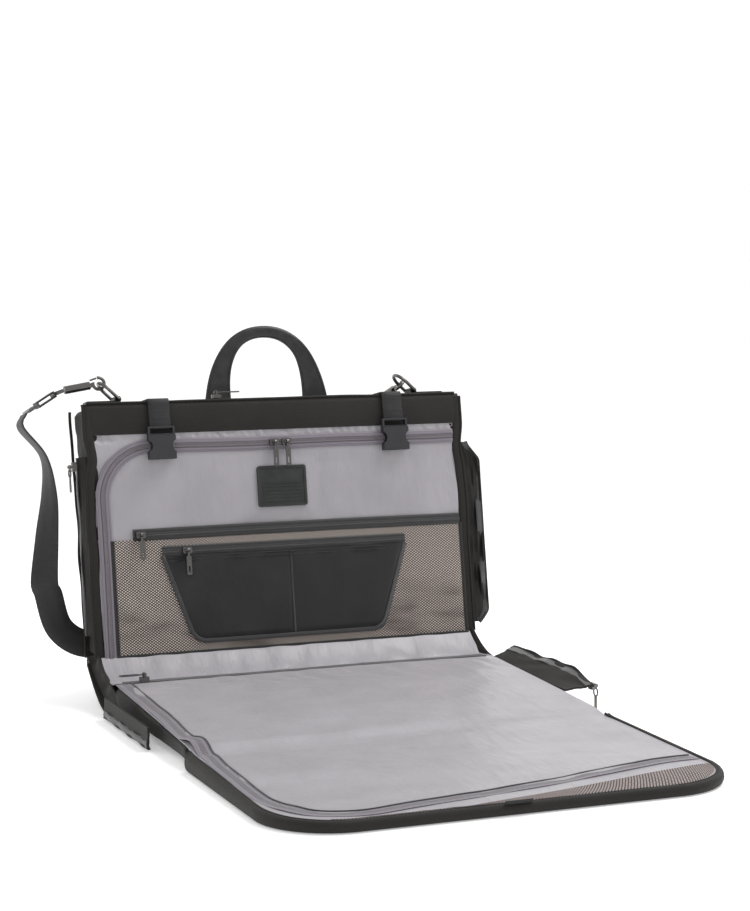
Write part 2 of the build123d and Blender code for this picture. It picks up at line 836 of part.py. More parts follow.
def slider(along_bar):
    """Slider with a bar above it on two posts."""
    a, b = (slider_length, slider_width) if along_bar else (slider_width, slider_length)
    body = block((-a / 2, -b / 2, seam_gap), (a / 2, b / 2, seam_gap + slider_height))
    body = fillet(body.edges().filter_by(Axis.Z), 2.0)
    shape = body + rod((-3.6, 0, bar_height), (3.6, 0, bar_height), bar_radius)
    for x in (-3.4, 3.4):
        shape += block((x - 0.7, -1.0, slider_height - 0.5), (x + 0.7, 1.0, bar_height + bar_radius))
    return shape


def eye():
    """The pull's eye round the bar."""
    ends = ((-1.6, 0, bar_height), (1.6, 0, bar_height))
    longer = ((-3, 0, bar_height), (3, 0, bar_height))
    return rod(*ends, eye_radius) - rod(*longer, bar_radius + running_gap)


def flat_pull():
    """Flat pull with a slot, thinner than its eye."""
    t = pull_thickness / 2
    arm = block((-1.6, -9, bar_height - t), (1.6, -bar_radius - running_gap - 0.4, bar_height + t))
    blade = Pos(0, -8 - (pull_length - 8) / 2, bar_height) * extrude(
        RectangleRounded(pull_width, pull_length - 8, 1.5), amount=t, both=True
    )
    slot = Pos(0, -pull_length + 8, bar_height) * Box(2.4, 8, 4)
    return eye() + arm + blade - slot


def ring_pull():
    """Wire ring with a short bar below it."""
    ring_r = 5.5
    loop = Pos(0, -eye_radius - ring_r - 0.2, bar_height) * Torus(ring_r, 1.1)
    low = -eye_radius - 2 * ring_r - 0.6
    bar = block((-2.4, low - 20, bar_height - 1), (2.4, low + 0.6, bar_height + 1))
    return eye() + loop + bar


def front_place(x, h, proud):
    """Slider axes on the upright's front face, pull hanging down."""
    return upright_axes * Location((x, -proud, h), (90, 0, 0))


tape_front = seam_gap + tape_thickness
slider_x_mesh = -mesh_half_width + 34 + 10
slider_x_accessory = -accessory_half_top + 34
slider_places = {
    "mesh_slider": (front_place(slider_x_mesh, mesh_zip_h, tape_front), True),
    "accessory_slider": (
        front_place(slider_x_accessory, accessory_zip_h, tape_front + seam_gap + lining_thickness), True),
    "main_slider_left": (front_place(-9.0, main_zip_h, tape_front), True),
    "main_slider_right": (front_place(9.0, main_zip_h, tape_front), True),
    "top_slider": (
        upright_axes * Location((-hang_slot_half + 10, hang_depth, upright_top + tape_front), (0, 0, 90)), False),
    "fold_slider": (
        Location(
            (-half + main_tape_inset + 40, middle_rear - black_tape_width / 2 - 0.5,
             middle_depth_rear + tape_front), (0, 0, -90)), False),
    "flap_slider_left": (
        upright_axes * Location(
            (-half - flap_offset - flap_thickness / 2, flap_thickness / 2 + flap_width - 5,
             upright_top - flap_top_below_edge - 12), (90, -90, 0)), False),
    "flap_slider_right": (
        Location(
            (half + middle_flap_offset + flap_thickness / 2 + flap_width,
             middle_rear - middle_flap_start - middle_flap_length + 10, middle_flap_z), (90, 90, 0)), True),
}


def main():
    os.makedirs("parts", exist_ok=True)
    save("middle_shell", middle_shell())
    save("middle_padding", middle_padding())
    save("middle_lining", middle_lining())
    save("middle_zipper_tape", middle_zipper_tape())
    save("fold_zipper_tape", fold_zipper_tape())
    save("outer_pocket", outer_pocket())
    save("male_buckles", male_buckles())
    save("end_shell", end_shell())
    save("end_padding", end_padding())
    save("end_lining", end_lining())
    save("end_binding", end_binding())
    save("end_zipper_tape", end_zipper_tape())
    save("spine_panel", spine_panel())
    save("upright_shell", upright_shell())
    save("back_board", back_board())
    save("upright_lining", upright_lining())
    save("top_band", top_band())
    save("mesh_pocket", mesh_pocket())
    save("accessory_pocket", accessory_pocket())
    save("black_zipper_tapes", black_zipper_tapes())
    save("main_zipper_tape", main_zipper_tape())
    save("rubber_patch", rubber_patch())
    save("ring_tabs", ring_tabs())
    save("strap_anchors", strap_anchors())
    save("hanger_bracket", hanger_bracket())
    save("hanging_hook", hanging_hook())
    save("carry_handle", carry_handle())
    for side, word in ((-1, "left"), (1, "right")):
        save(f"{word}_buckle_webbing", webbing_clear_of_buckle(side * buckle_x))
        save(f"{word}_female_buckle", female_buckle(side * buckle_x))
        save(f"{word}_ring", ring(side))
        save(f"{word}_gate", hook_place(side) * gate_shape())
        save(f"{word}_upright_flap", upright_flap(side))
        save(f"{word}_middle_flap", middle_flap(side))
    save("snap_hooks", snap_hooks())
    save("swivel_eyes", swivel_eyes())
    save("strap_loops", strap_loops())
    save("strap_adjuster", strap_adjuster())
    save("shoulder_webbing", shoulder_webbing())
    for name, (place, along_bar) in slider_places.items():
        save(name, place * slider(along_bar))
        pull = ring_pull() if name.startswith("flap") else flat_pull()
        save(name.replace("slider", "pull"), place * pull)


main()
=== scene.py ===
import json
import logging
import math
from dataclasses import dataclass
from enum import Enum
from functools import partialmethod
from typing import Callable, Iterable, Sequence

import bmesh
import bpy
import numpy as np
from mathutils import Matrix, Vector


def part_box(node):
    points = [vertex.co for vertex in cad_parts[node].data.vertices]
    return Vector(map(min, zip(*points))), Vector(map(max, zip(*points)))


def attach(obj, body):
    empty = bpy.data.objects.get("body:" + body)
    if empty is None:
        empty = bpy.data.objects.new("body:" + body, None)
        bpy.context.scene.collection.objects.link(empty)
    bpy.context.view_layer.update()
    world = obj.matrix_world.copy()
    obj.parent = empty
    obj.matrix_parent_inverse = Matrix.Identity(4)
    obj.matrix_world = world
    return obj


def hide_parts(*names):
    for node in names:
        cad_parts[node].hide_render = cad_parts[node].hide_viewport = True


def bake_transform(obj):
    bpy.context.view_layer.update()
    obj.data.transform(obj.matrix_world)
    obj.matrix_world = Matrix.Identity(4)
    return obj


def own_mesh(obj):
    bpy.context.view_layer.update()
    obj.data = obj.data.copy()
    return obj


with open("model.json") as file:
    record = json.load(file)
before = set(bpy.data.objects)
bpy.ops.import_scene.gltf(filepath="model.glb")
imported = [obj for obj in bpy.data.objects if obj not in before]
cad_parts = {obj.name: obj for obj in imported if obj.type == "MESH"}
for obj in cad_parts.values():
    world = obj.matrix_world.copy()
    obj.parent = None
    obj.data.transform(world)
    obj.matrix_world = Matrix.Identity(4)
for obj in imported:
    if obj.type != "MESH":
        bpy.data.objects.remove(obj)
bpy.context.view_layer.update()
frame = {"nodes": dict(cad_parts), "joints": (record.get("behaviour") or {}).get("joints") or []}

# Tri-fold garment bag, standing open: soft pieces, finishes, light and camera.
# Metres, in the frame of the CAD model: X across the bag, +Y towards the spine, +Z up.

Array = np.ndarray
MM = 0.001
TAU = 2 * math.pi
TINY = 1e-9
GREY_TAPE_WIDTH = 19 * MM
SHARP_ANGLE = math.radians(48)  # edges sharper than this stay sharp
FACE_DOWN = (1, -1)  # turns a strip's outline over
LINING_THICK = 0.9  # cloth thicknesses, in millimetres
NET_THICK = 0.8
FLAP_THICK = 2.6
PLAIN_EDGE, METAL_EDGE = 0.9, 0.35  # softened edges of hardware, in millimetres
log = logging.getLogger("garment_bag")


# ---------------------------------------------------------------- shader maths
class Sock:
    """A shader socket that takes part in ordinary arithmetic."""

    def __init__(self, shader: "Shader", socket: bpy.types.NodeSocket) -> None:
        self.shader = shader
        self.socket = socket

    def math(self, operation: str, *others: "Sock | float", swap: bool = False) -> "Sock":
        """One Math node.

        Args:
            operation: Blender's name of the operation.
            others: the other operands.
            swap: True if this socket is the second operand.

        Returns:
            The result's socket.
        """
        operands = [self, *others]
        if swap:
            operands.reverse()
        made = self.shader.node("ShaderNodeMath", {"operation": operation}, dict(enumerate(operands)))
        return Sock(self.shader, made.outputs[0])

    __add__ = partialmethod(math, "ADD")
    __sub__ = partialmethod(math, "SUBTRACT")
    __mul__ = partialmethod(math, "MULTIPLY")
    __truediv__ = partialmethod(math, "DIVIDE")
    __radd__ = partialmethod(math, "ADD", swap=True)
    __rsub__ = partialmethod(math, "SUBTRACT", swap=True)
    __rmul__ = partialmethod(math, "MULTIPLY", swap=True)
    __rtruediv__ = partialmethod(math, "DIVIDE", swap=True)
    __neg__ = partialmethod(math, "MULTIPLY", -1.0)
    __lt__ = partialmethod(math, "LESS_THAN")
    __gt__ = partialmethod(math, "GREATER_THAN")

    def wave(self, pitch: float) -> "Sock":
        """A sine along this socket, from -1 to 1, with that pitch in metres."""
        return (self * (TAU / pitch)).math("SINE")

    def size(self) -> "Sock":
        """The value without its sign."""
        return self.math("ABSOLUTE")

    def clamped(self, low: float, high: float) -> "Sock":
        """0 at low, 1 at high, with a smooth step between them."""
        made = self.shader.node(
            "ShaderNodeMapRange", {"interpolation_type": "SMOOTHSTEP"},
            {"Value": self, 1: low, 2: high, 3: 0.0, 4: 1.0}
        )
        return Sock(self.shader, made.outputs[0])


class Shader:
    """A material with one Principled surface, built node by node."""

    def __init__(self, name: str) -> None:
        self.material = bpy.data.materials.new(name)
        self.material.use_nodes = True
        self.tree = self.material.node_tree
        self.tree.nodes.clear()
        output = self.node("ShaderNodeOutputMaterial")
        self.surface = self.node("ShaderNodeBsdfPrincipled")
        self.tree.links.new(self.surface.outputs[0], output.inputs[0])

    def node(self, kind: str, settings: dict | None = None, inputs: dict | None = None) -> bpy.types.Node:
        """Any node.

        Args:
            kind: the node's type.
            settings: its properties.
            inputs: a value or a Sock for each input, by name or index.

        Returns:
            The node.
        """
        made = self.tree.nodes.new(kind)
        for key, value in (settings or {}).items():
            setattr(made, key, value)
        for key, value in (inputs or {}).items():
            if isinstance(value, Sock):
                self.tree.links.new(value.socket, made.inputs[key])
            else:
                made.inputs[key].default_value = value
        return made

    def split(self, vector: bpy.types.NodeSocket) -> tuple[Sock, Sock, Sock]:
        """The three parts of a vector."""
        made = self.node("ShaderNodeSeparateXYZ", None, {0: Sock(self, vector)})
        return tuple(Sock(self, o) for o in made.outputs)

    def coordinates(self, kind: str) -> Sock:
        """Texture coordinates: "UV" in metres of cloth, or "Object" in metres of space."""
        return Sock(self, self.node("ShaderNodeTexCoord").outputs[kind])

    def noise(self, vector: Sock, size: float, detail: float = 3.0, rough: float = 0.5) -> Sock:
        """Noise from 0 to 1 whose blotches are about that size in metres."""
        made = self.node(
            "ShaderNodeTexNoise", None,
            {"Vector": vector, "Scale": 1.0 / size, "Detail": detail, "Roughness": rough},
        )
        return Sock(self, made.outputs[0])

    def cells(self, vector: Sock, size: float) -> Sock:
        """Distance to the middle of the nearest cell, for grain."""
        made = self.node("ShaderNodeTexVoronoi", None, {"Vector": vector, "Scale": 1.0 / size})
        return Sock(self, made.outputs["Distance"])

    def stretched(self, vector: Sock, scale: Sequence[float], turn: float = 0.0) -> Sock:
        """Coordinates turned about Z and scaled."""
        made = self.node(
            "ShaderNodeMapping", None, {"Vector": vector, "Rotation": (0, 0, turn), "Scale": scale}
        )
        return Sock(self, made.outputs[0])

    def mix(self, share: Sock | float, first: object, second: object) -> Sock:
        """First colour at share 0, second at share 1."""
        made = self.node("ShaderNodeMix", {"data_type": "RGBA"}, {0: share, 6: first, 7: second})
        return Sock(self, made.outputs[2])

    def relief(self, height: Sock, distance: float, strength: float = 1.0) -> None:
        """Bump from a height of 0 to 1 over that distance in metres, added to what is there."""
        inputs = {"Height": height, "Distance": distance, "Strength": strength}
        if self.surface.inputs["Normal"].is_linked:
            inputs["Normal"] = Sock(self, self.surface.inputs["Normal"].links[0].from_socket)
        made = self.node("ShaderNodeBump", None, inputs)
        self.tree.links.new(made.outputs[0], self.surface.inputs["Normal"])

    def paint(self, **values: object) -> None:
        """Sets the surface's inputs; an underscore in a name stands for a space."""
        for key, value in values.items():
            socket = self.surface.inputs[key.replace("_", " ")]
            if isinstance(value, Sock):
                self.tree.links.new(value.socket, socket)
            else:
                socket.default_value = value


Colour = tuple[float, float, float]


def rgba(colour: Colour, gain: float = 1.0) -> tuple[float, float, float, float]:
    """A colour for a socket, brighter by gain."""
    return (*(min(1.0, c * gain) for c in colour), 1.0)


class Space(Enum):
    """Where a finish takes its coordinates from."""

    CLOTH = "UV"
    ROOM = "Object"


@dataclass(frozen=True)
class Finish:
    """What every finish has."""

    name: str
    colour: Colour
    slot: str
    roughness: float = 0.6

    def build(self) -> bpy.types.Material:
        """Makes the material."""
        shader = Shader(self.name)
        self.pattern(shader)
        log.info("finish %s", self.name)
        return shader.material

    def pattern(self, shader: Shader) -> None:
        """Adds the finish's own nodes."""
        raise NotImplementedError


@dataclass(frozen=True)
class Woven(Finish):
    """Plain or ballistic weave: crossed yarns, slow mottling and a soft sheen."""

    pitch: float = 1.1 * MM
    depth: float = 0.12 * MM
    sheen: float = 0.3
    mottle: float = 0.18
    folds: float = 0.0
    space: Space = Space.ROOM

    def pattern(self, shader: Shader) -> None:
        where = shader.coordinates(self.space.value)
        x, y, z = shader.split(where.socket)
        if self.space is Space.CLOTH:
            yarns = x.wave(self.pitch) * y.wave(self.pitch)
        else:
            a, b, c = (axis.wave(self.pitch) for axis in (x, y, z))
            yarns = a * b + b * c + a * c
        blotch = shader.noise(where, 60 * MM, 4.0)
        lint = shader.noise(where, 2.5 * MM, 2.0)
        shade = shader.mix(
            blotch.clamped(0.3, 0.7), rgba(self.colour, 1 - self.mottle), rgba(self.colour, 1 + self.mottle)
        )
        shade = shader.mix((yarns * 0.5 + 0.5) * 0.35, shade, rgba(self.colour, 0.55))
        shader.paint(
            Base_Color=shade, Roughness=(lint - 0.5) * 0.16 + self.roughness,
            Sheen_Weight=self.sheen, Sheen_Roughness=0.45, Specular_IOR_Level=0.35,
        )
        shader.relief(yarns * 0.5 + 0.5, self.depth)
        if self.folds:
            soft = shader.noise(shader.stretched(where, (1.0, 0.28, 1.0), 0.7), 34 * MM, 2.0, 0.45)
            shader.relief(soft, self.folds)
            creases = shader.noise(shader.stretched(where, (1.0, 0.35, 1.0), -0.5), 13 * MM, 3.0, 0.55)
            shader.relief(creases.clamped(0.42, 0.62), self.folds * 0.12)


@dataclass(frozen=True)
class Tape(Finish):
    """Zipper tape: herringbone cloth, interlocked teeth along its middle, a stitch line at each edge."""

    width: float = GREY_TAPE_WIDTH
    teeth: Colour = (0.12, 0.11, 0.12)
    tooth_pitch: float = 1.6 * MM
    gloss: float = 0.0

    def pattern(self, shader: Shader) -> None:
        where = shader.coordinates(Space.CLOTH.value)
        along, across, _ = shader.split(where.socket)
        offset = across.size()
        chain = offset < 2.7 * MM
        tooth = along.wave(self.tooth_pitch) * chain
        rib = across.wave(1.4 * MM) * 0.5 + 0.5
        seam = (offset - (self.width / 2 - 2.4 * MM)).size() < 0.45 * MM
        stitch = seam * (along.wave(3.2 * MM) > -0.35)
        gutter = (offset - 3.2 * MM).size() < 0.5 * MM
        shade = shader.mix(rib * 0.3, rgba(self.colour), rgba(self.colour, 0.78))
        shade = shader.mix(chain * 0.7, shade, rgba(self.teeth))
        shade = shader.mix(gutter * 0.55, shade, rgba(self.teeth, 0.5))
        shade = shader.mix(stitch * 0.65, shade, rgba(self.colour, 0.3))
        shader.paint(
            Base_Color=shade, Roughness=chain * -0.2 + self.roughness, Specular_IOR_Level=0.45,
            Sheen_Weight=0.25, Coat_Weight=self.gloss, Coat_Roughness=0.3,
        )
        shader.relief(tooth * 0.5 + 0.5, 0.5 * MM)
        shader.relief(rib - stitch, 0.15 * MM)


@dataclass(frozen=True)
class Net(Finish):
    """Knotted net: dark threads round light diamond holes that close up where the net is gathered."""

    hole: Colour = (0.60, 0.52, 0.47)
    pitch: float = 5.0 * MM
    open_share: float = 0.47
    gather: float = 0.0

    def pattern(self, shader: Shader) -> None:
        where = shader.coordinates(Space.CLOTH.value)
        x, y, _ = shader.split(where.socket)
        first = ((x + y * 1.35) * (math.pi / self.pitch)).math("SINE").size()
        second = ((x - y * 1.35) * (math.pi / self.pitch)).math("SINE").size()
        diamond = first.math("MINIMUM", second)
        cloud = shader.noise(shader.stretched(where, (0.5, 1.6, 1.0)), 60 * MM, 2.0)
        shut = cloud.clamped(0.46, 0.70) * (1.0 - y.clamped(0.01, 0.11)) * self.gather
        light = diamond.clamped(1 - self.open_share - 0.14, 1 - self.open_share + 0.14) * (1.0 - shut * 0.8)
        shade = shader.mix(light, rgba(self.colour), rgba(self.hole))
        shader.paint(Base_Color=shade, Roughness=self.roughness, Sheen_Weight=0.05, Specular_IOR_Level=0.3)
        shader.relief(1.0 - light, 0.5 * MM)


@dataclass(frozen=True)
class Ribbed(Finish):
    """Webbing: fine ribs across its length and a firmer edge."""

    width: float = 30 * MM

    def pattern(self, shader: Shader) -> None:
        where = shader.coordinates(Space.CLOTH.value)
        along, across, _ = shader.split(where.socket)
        rib = along.wave(2.0 * MM) * 0.5 + 0.5
        yarn = across.wave(1.0 * MM) * 0.5 + 0.5
        edge = across.size().clamped(self.width / 2 - 3 * MM, self.width / 2 - 1.5 * MM)
        wear = shader.noise(where, 9 * MM, 4.0).clamped(0.35, 0.75)
        shade = shader.mix(rib * yarn * 0.5, rgba(self.colour), rgba(self.colour, 1.8))
        shade = shader.mix(edge * wear * 0.6, shade, rgba(self.colour, 2.2))
        shader.paint(
            Base_Color=shade, Roughness=yarn * 0.08 + self.roughness, Sheen_Weight=0.05,
            Specular_IOR_Level=0.4
        )
        shader.relief(rib * 0.7 + yarn * 0.3, 0.28 * MM)


@dataclass(frozen=True)
class Grained(Finish):
    """Leather or moulded rubber: cells, pores and a worn sheen."""

    grain: float = 1.3 * MM
    depth: float = 0.16 * MM
    coat: float = 0.15

    def pattern(self, shader: Shader) -> None:
        where = shader.coordinates(Space.ROOM.value)
        pebble = shader.cells(where, self.grain)
        cloud = shader.noise(where, 14 * MM, 4.0)
        shade = shader.mix(cloud.clamped(0.3, 0.75), rgba(self.colour, 0.8), rgba(self.colour, 1.5))
        shader.paint(
            Base_Color=shade, Roughness=(cloud - 0.5) * 0.3 + self.roughness,
            Coat_Weight=cloud * self.coat, Coat_Roughness=0.35, Specular_IOR_Level=0.45,
        )
        shader.relief(pebble, self.depth)
        shader.relief(shader.noise(where, 4 * MM, 5.0), self.depth * 1.4)


@dataclass(frozen=True)
class Metal(Finish):
    """Plated metal with a fine brush and slightly dull patches."""

    brush: float = 0.6 * MM

    def pattern(self, shader: Shader) -> None:
        where = shader.coordinates(Space.ROOM.value)
        lines = shader.noise(shader.stretched(where, (1.0, 0.08, 1.0)), self.brush, 2.0)
        dull = shader.noise(where, 7 * MM, 4.0).clamped(0.4, 0.8)
        shade = shader.mix(dull * 0.5, rgba(self.colour), rgba(self.colour, 0.6))
        shader.paint(Base_Color=shade, Metallic=1.0, Roughness=lines * 0.14 + dull * 0.1 + self.roughness)
        shader.relief(lines, 0.02 * MM)


@dataclass(frozen=True)
class Moulded(Finish):
    """Moulded plastic or board with a fine spark texture."""

    grit: float = 0.5 * MM
    depth: float = 0.04 * MM

    def pattern(self, shader: Shader) -> None:
        where = shader.coordinates(Space.ROOM.value)
        spark = shader.noise(where, self.grit, 2.0)
        cloud = shader.noise(where, 12 * MM, 3.0)
        shade = shader.mix(cloud, rgba(self.colour, 0.85), rgba(self.colour, 1.25))
        shader.paint(Base_Color=shade, Roughness=cloud * 0.1 + self.roughness, Specular_IOR_Level=0.5)
        shader.relief(spark, self.depth)


OUTER = Woven(
    "ballistic_nylon", (0.0105, 0.0090, 0.0074), "outer_nylon", 0.68, 1.3 * MM, 0.16 * MM, 0.03, 0.2
)
SATIN = Woven(
    "satin_lining", (0.370, 0.352, 0.378), "lining_satin", 0.34, 0.8 * MM, 0.03 * MM, 0.2, 0.05,
    folds=2.2 * MM, space=Space.CLOTH,
)
POCKET = Woven(
    "pocket_nylon", (0.0150, 0.0150, 0.0158), "pocket_nylon", 0.45, 0.9 * MM, 0.08 * MM, 0.04, 0.12,
    folds=1.6 * MM, space=Space.CLOTH,
)
GREY_TAPE = Tape("grey_zipper_tape", (0.200, 0.175, 0.208), "grey_zipper", 0.55)
BLACK_TAPE = Tape(
    "black_zipper_tape", (0.0120, 0.0120, 0.0125), "black_zipper", 0.5, 14 * MM, (0.035, 0.035, 0.038),
    1.4 * MM, 0.2
)
NET = Net("pocket_net", (0.020, 0.017, 0.015), "mesh_net", 0.75, gather=1.0)
PALE_NET = Net("edge_net", (0.045, 0.035, 0.034), "mesh_net", 0.75, (0.44, 0.37, 0.35), 4.0 * MM, 0.45)
WEBBING = Ribbed("ribbed_webbing", (0.0100, 0.0096, 0.0102), "webbing", 0.5)
LEATHER = Grained("smooth_leather", (0.0105, 0.0098, 0.0098), "leather", 0.42, coat=0.25)
RUBBER = Grained("moulded_rubber", (0.0170, 0.0190, 0.0180), "patch_rubber", 0.62, 0.5 * MM, 0.05 * MM, 0.0)
GUNMETAL = Metal("gunmetal", (0.16, 0.155, 0.15), "gunmetal", 0.22)
STEEL = Metal("bright_steel", (0.55, 0.55, 0.56), "steel", 0.22)
PLASTIC = Moulded("acetal", (0.019, 0.019, 0.023), "black_plastic", 0.42)
BOARD = Moulded("stiff_board", (0.1, 0.1, 0.1), "board", 0.7, 2 * MM, 0.1 * MM)


class Wardrobe:
    """Builds each finish once and puts it on pieces."""

    def __init__(self) -> None:
        self.made: dict[str, bpy.types.Material] = {}

    def dress(self, piece: bpy.types.Object, finish: Finish) -> bpy.types.Object:
        """Gives the piece the finish."""
        if finish.name not in self.made:
            self.made[finish.name] = finish.build()
        piece.data.materials.clear()
        piece.data.materials.append(self.made[finish.name])
        return piece


WARDROBE = Wardrobe()


# ---------------------------------------------------------------- places
def vertices(node: str) -> Array:
    """A CAD node's vertices."""
    return np.array([v.co for v in frame["nodes"][node].data.vertices], float)


class UprightAxes:
    """The upright section's own axes: x across, d behind its front face, h up that face."""

    def __init__(self) -> None:
        axes = {j["name"]: np.array(j["axis"], float) for j in frame["joints"]}
        self.up = axes["hook_slide"]
        self.back = axes["left_ring_swing"]
        front = (vertices("upright_lining") @ self.back).min()
        self.origin = np.array((0.0, front / self.back[1], 0.0))
        self.low = self.box("upright_lining")[0][2]
        self.seam = self.box("top_band")[0][2]
        self.top = self.box("top_band")[1][2]
        self.half = self.box("top_band")[1][0]
        shell = vertices("upright_shell") - self.origin
        depth, height = shell @ self.back, shell @ self.up
        self.depth_low = depth[height < self.low + 5 * MM].max()
        self.depth_top = depth.max()

    def point(self, x: Array | float, d: Array | float, h: Array | float) -> Array:
        """Places in the room for upright coordinates, whose arrays may differ in shape."""
        x, d, h = np.broadcast_arrays(x, d, h)
        across = np.array((1.0, 0.0, 0.0))
        return self.origin + x[..., None] * across + d[..., None] * self.back + h[..., None] * self.up

    def box(self, node: str) -> tuple[Array, Array]:
        """Lowest and highest (x, d, h) of a CAD node."""
        away = vertices(node) - self.origin
        local = np.stack([away[:, 0], away @ self.back, away @ self.up], axis=1)
        return local.min(0), local.max(0)

    def rear(self, h: Array | float) -> Array | float:
        """Depth of the back face at a height."""
        share = (h - self.low) / (self.top - self.low)
        return self.depth_low + share * (self.depth_top - self.depth_low)


class Floor:
    """The middle and end sections: their outline and the height of their lining."""

    def __init__(self) -> None:
        middle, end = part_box("middle_lining"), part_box("end_binding")
        self.half = middle[1].x
        self.rear, self.front = middle[1].y, middle[0].y
        self.rear_top, self.front_top = middle[1].z, float(self._height("middle_lining", self.front))
        self.near, self.far = end[1].y, end[0].y
        self.near_top, self.far_top = end[1].z, float(self._height("end_binding", self.far))
        self.crease = (self.front + self.near) / 2
        self.radius = 90 * MM

    @staticmethod
    def _height(node: str, y: float) -> float:
        points = vertices(node)
        return points[np.abs(points[:, 1] - y) < 3 * MM][:, 2].max()

    def top(self, y: Array) -> Array:
        """Height of the CAD lining at y, with a smooth step over the crease."""
        middle = self.front_top + (y - self.front) / (self.rear - self.front) * (
            self.rear_top - self.front_top
        )
        end = self.far_top + (y - self.far) / (self.near - self.far) * (self.near_top - self.far_top)
        share = smooth((self.crease - y) / (14 * MM) * 0.5 + 0.5)
        return middle * (1 - share) + end * share

    def width(self, y: Array, inset: float = 0.0, radius: float | None = None) -> Array:
        """Half width of the outline at y, drawn in by an inset."""
        r = (self.radius if radius is None else radius) - inset
        into = np.clip((self.far + inset + r - y) / r, 0, 1)
        return self.half - inset - r + r * np.sqrt(np.clip(1 - into**2, 0, 1))


def smooth(t: Array | float) -> Array:
    """Smooth step from 0 to 1."""
    t = np.clip(t, 0.0, 1.0)
    return t * t * (3 - 2 * t)


UPRIGHT = UprightAxes()
FLOOR = Floor()


# ---------------------------------------------------------------- cloth shapes
class Ripples:
    """A smooth, repeatable field of folds from a few seeded waves."""

    def __init__(
        self, seed: int, shortest: float, longest: float, heading: float = 0.0, spread: float = math.pi,
        count: int = 9
    ) -> None:
        rng = np.random.default_rng(seed)
        lengths = np.exp(rng.uniform(math.log(shortest), math.log(longest), count))
        turn = heading + spread * rng.uniform(-1, 1, count)
        self.kx, self.ky = TAU / lengths * np.cos(turn), TAU / lengths * np.sin(turn)
        self.phase = rng.uniform(0, TAU, count)
        self.weight = lengths / lengths.sum()

    def __call__(self, x: Array, y: Array) -> Array:
        """Height of the folds, about -1 to 1."""
        x, y = np.broadcast_arrays(x, y)
        return sum(
            w * np.sin(a * x + b * y + p) for a, b, p, w in zip(self.kx, self.ky, self.phase, self.weight)
        ) * 1.8

    def pinched(self, x: Array, y: Array) -> Array:
        """Folds with narrow crests, from 0 to about 1."""
        return np.clip(1 - np.abs(self(x, y)) * 1.6, 0, 1) ** 1.5


class Bond(Enum):
    """How a sheet is held."""

    STRETCHED = "stretched"
    LAID = "laid"
    HUNG = "hung"


def add_mesh(name: str, points: Array, faces: Iterable[Sequence[int]], cloth: Array) -> bpy.types.Object:
    """A smooth-shaded mesh with cloth coordinates in metres."""
    mesh = bpy.data.meshes.new(name)
    mesh.from_pydata(points.reshape(-1, 3).tolist(), [], list(faces))
    layer = mesh.uv_layers.new(name="cloth")
    index = np.zeros(len(mesh.loops), np.int32)
    mesh.loops.foreach_get("vertex_index", index)
    layer.data.foreach_set("uv", cloth.reshape(-1, 2)[index].astype(np.float32).ravel())
    mesh.polygons.foreach_set("use_smooth", np.ones(len(mesh.polygons), bool))
    mesh.set_sharp_from_angle(angle=SHARP_ANGLE)
    mesh.validate()
    made = bpy.data.objects.new(name, mesh)
    bpy.context.scene.collection.objects.link(made)
    return made


def area_under(height: Array, along: Array) -> float:
    """Area between a line of heights and its base."""
    return float(abs(((height[1:] + height[:-1]) / 2 * np.diff(along)).sum()))


def lengths(points: Array) -> Array:
    """Distance along a line of points."""
    steps = np.linalg.norm(np.diff(points, axis=0), axis=1)
    return np.concatenate([[0.0], np.cumsum(steps)])


def sheet_mesh(name: str, front: Array, inward: Array | Sequence[float]) -> bpy.types.Object:
    """A closed sheet.

    Args:
        name: the piece's name.
        front: a grid of points on its shown side, as rows, columns, 3.
        inward: the step from the shown side to the other side.

    Returns:
        The piece.
    """
    rows, columns = front.shape[:2]
    back = front + np.asarray(inward, float)
    number = np.arange(rows * columns).reshape(rows, columns)
    other = number + rows * columns
    quads = [
        np.stack([number[:-1, :-1], number[:-1, 1:], number[1:, 1:], number[1:, :-1]], -1).reshape(-1, 4),
        np.stack([other[:-1, :-1], other[1:, :-1], other[1:, 1:], other[:-1, 1:]], -1).reshape(-1, 4),
    ]
    rim = np.concatenate([number[0, :-1], number[:-1, -1], number[-1, :0:-1], number[:0:-1, 0]])
    after = np.roll(rim, -1)
    quads.append(np.stack([rim, rim + rows * columns, after + rows * columns, after], -1))
    faces = np.concatenate(quads).tolist()
    u, v = lengths(front[rows // 2]), lengths(front[:, columns // 2])
    cloth = np.stack(np.meshgrid(u, v), -1)
    made = add_mesh(
        name, np.concatenate([front.reshape(-1, 3), back.reshape(-1, 3)]), faces,
        np.concatenate([cloth, cloth])
    )
    return outward(made)


def outward(piece: bpy.types.Object) -> bpy.types.Object:
    """Turns every face to the outside."""
    work = bmesh.new()
    work.from_mesh(piece.data)
    bmesh.ops.recalc_face_normals(work, faces=work.faces)
    work.to_mesh(piece.data)
    work.free()
    return piece


